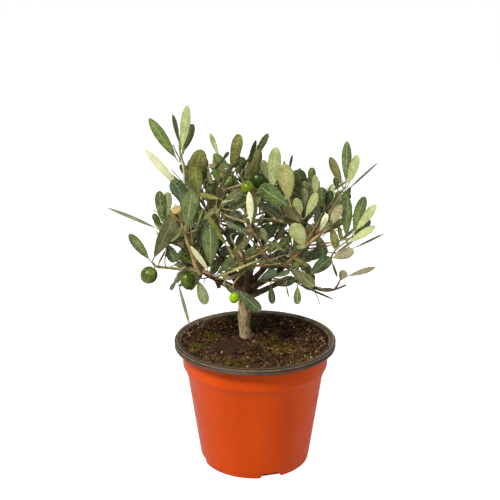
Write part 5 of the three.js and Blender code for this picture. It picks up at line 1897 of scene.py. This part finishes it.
def make_sprouts():
    bundle = Bundle()
    draw = seeded(61)
    for sprout in SPROUTS:
        foot = in_soil(sprout)
        for i in range(sprout.count):
            way = heading(360 * i / sprout.count + draw(-30, 30), draw(35, 75))
            tip = foot + way * sprout.tall * draw(0.6, 1)
            middle = (foot + tip) / 2 + SKY * (sprout.tall * 0.12)
            bundle.add(*tube([foot, middle, tip - way * 1.2, tip], sprout_radius, 5))
    hand_in(smooth(bundle.piece([EARTH["sprout"]])), "soil_sprouts", ["soil"])


def make_straws():
    bundle = Bundle()
    for straw in STRAWS:
        line = Line(in_soil(straw), Limb(0, straw.bearing, straw.rise, straw.long, lift=-45), 6)
        bundle.add(*tube(line.points, taper(0.35, 0.15), 5))
    hand_in(smooth(bundle.piece([EARTH["straw"]])), "soil_straws", ["soil"])


make_sprouts()
make_straws()


# Trunk and boughs
def extruded_limb(line, radius_at, sides=14, steps=10):
    """A limb drawn out ring by ring from a disc square to its length."""
    places = [Vector(line.along(min(0.9999, i / steps))[0]) * MM for i in range(steps + 1)]
    turn = (places[-1] - places[0]).to_track_quat("Z", "Y").to_euler()
    disc = dict(vertices=sides, radius=radius_at(0) * MM, fill_type="NGON")
    started(bpy.ops.mesh.primitive_circle_add, **disc, location=places[0], rotation=turn)
    bpy.ops.object.mode_set(mode="EDIT")
    bpy.ops.mesh.select_mode(type="FACE")
    bpy.ops.mesh.select_all(action="SELECT")
    for i in range(steps):
        bpy.ops.mesh.extrude_region_move(TRANSFORM_OT_translate={"value": places[i + 1] - places[i]})
        grow = radius_at((i + 1) / steps) / radius_at(i / steps)
        bpy.ops.transform.resize(value=(grow, grow, grow), center_override=places[i + 1])
    bpy.ops.mesh.select_all(action="SELECT")
    bpy.ops.mesh.normals_make_consistent(inside=False)
    bpy.ops.object.mode_set(mode="OBJECT")
    return set_down(bpy.context.active_object)


# Stubs of cut or dead shoots: the limb they leave, where along it, their way and their size
Stub = namedtuple("Stub", "limb share bearing rise long radius")
STUBS = [
    Stub(bough_lines["left"], 0.97, -60, -55, 7.5, 2.3),
    Stub(bough_lines["right"], 0.45, -70, 60, 4.5, 1.5),
    Stub(trunk_line, 0.45, -20, 20, 6.6, 2.0),
    Stub(trunk_line, 0.9, -60, 30, 6.5, 1.8),
    Stub(bough_lines["right_low"], 0.8, -90, 55, 4.0, 1.1),
]


def bark_relief(point):
    """How far the bark stands out at a point: long fissures, plates and a scar on the right."""
    low = point.z < BARK_PALE_TOP
    long_grain = Vector((point.x * 0.75, point.y * 0.75, point.z * 0.17))
    fissures = abs(noise.noise(long_grain)) * 2 - 0.5
    plates = noise.noise(point / 2.6)
    fine = noise.noise(point / 0.9)
    depth = 0.42 if low else 0.2
    scar = (point - Vector(SCAR)).length
    lip = 0.7 * math.exp(-(((scar - 4.2) / 1.4) ** 2))
    hollow = -1.1 * math.exp(-((scar / 3.0) ** 2)) + lip if low else 0
    return depth * fissures + 0.16 * plates + 0.08 * fine + hollow


def root_swell(point):
    """The trunk's foot spreads into three roots where it enters the soil."""
    turn = math.atan2(point.y - TRUNK_FOOT[1], point.x - TRUNK_FOOT[0])
    root = 0.45 + 0.45 * math.sin(3 * turn + 1.0)
    return Vector((math.cos(turn), math.sin(turn), 0)) * root * (SOIL_TOP + 3 - point.z) / 3


def make_wood():
    limbs = [extruded_limb(trunk_line, trunk_radius, 20, 16)]
    for name, bough in BOUGHS.items():
        limbs.append(extruded_limb(bough_lines[name], taper(bough.root + 0.7, bough.tip + 0.2)))
    for name, mass in MASSES.items():
        tip = BOUGHS[mass.bough].tip
        limbs.append(extruded_limb(sprays[name].stem, taper(tip, TWIG_RADIUS * 0.95)))
    for stub in STUBS:
        line = Line(stub.limb.along(stub.share)[0], Limb(0, stub.bearing, stub.rise, stub.long, lift=0), 3)
        limbs.append(extruded_limb(line, taper(stub.radius, stub.radius * 0.8), 10, 3))
    wood = joined(limbs)
    finished(wood, "REMESH", mode="VOXEL", voxel_size=WOOD_VOXEL * MM)
    finished(wood, "SMOOTH", factor=0.6, iterations=4)
    moved = []
    for vertex in wood.data.vertices:
        point = vertex.co / MM
        place = point + vertex.normal * bark_relief(point)
        if point.z < SOIL_TOP + 3:
            place += root_swell(point)
        moved.append(place * MM)
    wood.data.vertices.foreach_set("co", np.array(moved).ravel())
    wood.data.update()
    smooth(wood)
    hand_in(painted(wood, BARK), "wood", ["trunk"] + ["bough_" + name for name in BOUGHS])


make_wood()


# Twigs
def knotted(twig):
    """A twig's radius along its length, with swellings where its leaves sit."""
    first, pairs = twig.limb.first, max(1, twig.limb.pairs)
    knots = {round(TWIG_STEPS * (first + (1 - first) * pair / pairs)) for pair in range(pairs + 1)}
    slim = taper(twig.root, twig.tip)
    return lambda share: slim(share) * (1.25 if round(share * TWIG_STEPS) in knots else 1)


def make_twigs():
    """Every twig, the bare ones and the leaves' stalks."""
    tints = list(TWIG)
    bundle = Bundle()
    shares = np.linspace(0, 0.999, TWIG_STEPS + 1)
    for name, spray in sprays.items():
        draw = seeded(len(name) * 77)
        for twig in spray.twigs:
            spots = np.array([twig.line.along(share)[0] for share in shares])
            spots[1:] += np.array([[draw(-0.16, 0.16) for _ in range(3)] for _ in shares[1:]])
            corners, quads = tube(spots, knotted(twig), TWIG_SIDES)
            kinds = np.full(len(quads), tints.index(twig.tint))
            if twig.tint == "tan":
                kinds[len(quads) * 6 // 10:] = tints.index("green")
            bundle.add(corners, quads, kinds)
        for line, item in spray.bare:
            bundle.add(*tube(line, taper(item.root, item.tip), TWIG_SIDES), tints.index(item.tint))
        for stalk, thick in spray.stalks:
            bundle.add(*tube(stalk, taper(thick, STALK_RADIUS), TWIG_SIDES), tints.index("green"))
    piece = smooth(bundle.piece(list(TWIG.values())))
    hand_in(piece, "twigs", ["foliage_" + name for name in MASSES])


make_twigs()


# Leaves
def leaf_width(shares, point):
    """Half width over a leaf's length: a stalk, then a blade that comes to a blunt or fine point."""
    blade_shares = np.clip((shares - PETIOLE) / (1 - PETIOLE), 0, 1)
    widest = 0.9 / (0.9 + point)
    peak = widest ** 0.9 * (1 - widest) ** point
    outline = blade_shares ** 0.9 * (1 - blade_shares) ** point / peak
    slim = np.maximum(PETIOLE_WIDE * (1 - blade_shares), 0.03)
    return np.where(shares <= PETIOLE, PETIOLE_WIDE, np.maximum(slim, outline))


def leaf_blank():
    """A flat leaf of length 1 and half width 1, with its underside, as points, faces and kinds."""
    columns, rows = len(LEAF_COLUMNS) - 1, len(LEAF_ROWS) - 1
    leaf = started(bpy.ops.mesh.primitive_grid_add, x_subdivisions=columns, y_subdivisions=rows, size=2)
    for vertex in leaf.data.vertices:
        vertex.co.x = LEAF_COLUMNS[round((vertex.co.x + 1) / 2 * columns)]
        vertex.co.y = LEAF_ROWS[round((vertex.co.y + 1) / 2 * rows)]
    leaf.data.materials.append(UPPER["mid"])
    leaf.data.materials.append(UNDER["pale"])
    finished(leaf, "SOLIDIFY", thickness=0.1, offset=-1, material_offset=1, material_offset_rim=1)
    points, faces, kinds = arrays_of(leaf)
    return points * MM, faces, kinds


def bent_blade(leaf, blank):
    """The blank's points as a real leaf: its outline, fold, rib, curled edge, twist and arch."""
    across, along, under = blank[:, 0], blank[:, 1], blank[:, 2] < -0.05
    width = leaf_width(along, 0.98 - 1.5 * min(0.32, leaf.wide / leaf.long))
    half = np.maximum(width * leaf.wide / 2, 0.45 * (along < 0.12))
    groove = -LEAF_GROOVE * np.exp(-((across / 0.2) ** 2)) * (width > 0.3)
    z = leaf.fold * np.abs(across) ** 1.5 * half + groove - LEAF_CURL * (across ** 4) * half
    z = z - np.where(under, LEAF_THICK * (0.35 + 0.65 * (1 - np.abs(across))), 0)
    x = across * half
    turn = leaf.twist * along
    sideways = x * np.cos(turn) - z * np.sin(turn)
    outward = x * np.sin(turn) + z * np.cos(turn) - leaf.long * leaf.arch * along ** 2
    place = leaf.at + np.outer(along * leaf.long, leaf.lead)
    return place + np.outer(sideways, leaf.across) + np.outer(outward, leaf.face)


def make_leaves():
    blank, faces, sides = leaf_blank()
    leaf_map = np.stack([blank[:, 1], (blank[:, 0] + 1) / 2], axis=1)
    uppers, unders = list(UPPER), list(UNDER)
    materials = list(UPPER.values()) + list(UNDER.values())
    for name, spray in sprays.items():
        bundle = Bundle()
        for leaf in spray.leaves:
            upper, under = uppers.index(leaf.upper), len(uppers) + unders.index(leaf.under)
            bundle.add(bent_blade(leaf, blank), faces, np.where(sides == 0, upper, under))
        piece = smooth(bundle.piece(materials, leaf_map), 60)
        hand_in(piece, "leaves_" + name, ["foliage_" + name])


make_leaves()


# Olives
def olive_blank():
    """An olive one unit wide and long, a little fuller round its middle, with a dimple at its stalk."""
    olive = started(bpy.ops.mesh.primitive_uv_sphere_add, segments=28, ring_count=18, radius=0.5 * MM)
    for vertex in olive.data.vertices:
        share = vertex.co.z / MM + 0.5
        fuller = 1 + 0.04 * math.sin(math.pi * share)
        vertex.co.x *= fuller
        vertex.co.y *= fuller
        if share > 0.94:
            vertex.co.z -= (share - 0.94) * 0.9 * MM
    return smooth(olive)


def stalk_radius(share):
    return 0.45 + 2.5 * max(0, share - 0.8)


def make_olives():
    blank = olive_blank()
    skins, stalks = {}, Bundle()
    for name, spray in sprays.items():
        for item, foot, top, end in spray.fruit:
            way, long = unit(end - top), np.linalg.norm(end - top)
            turn = Vector(-way).to_track_quat("Z", "Y").to_matrix().to_4x4()
            size = Matrix.Diagonal((item.wide, item.wide, long, 1))
            olive = blank.copy()
            olive.data = blank.data.copy()
            bpy.context.scene.collection.objects.link(olive)
            olive.data.transform(Matrix.Translation(Vector((top + end) / 2) * MM) @ turn @ size)
            skins.setdefault(item.skin, []).append((olive, "foliage_" + name))
            bend = (foot + top) / 2 - way * np.linalg.norm(foot - top) * 0.3
            stalks.add(*tube(arc(foot, bend, top, 8) + [top + way * 0.8], stalk_radius, 8))
    bpy.data.objects.remove(blank)
    for skin, group in skins.items():
        olives = painted(joined([olive for olive, _ in group]), OLIVES[skin])
        hand_in(olives, "olives_" + skin, sorted({node for _, node in group}))
    piece = smooth(stalks.piece([TWIG["green"]]))
    bearing = ["foliage_" + name for name, spray in sprays.items() if spray.fruit]
    hand_in(piece, "olive_stalks", bearing)


make_olives()
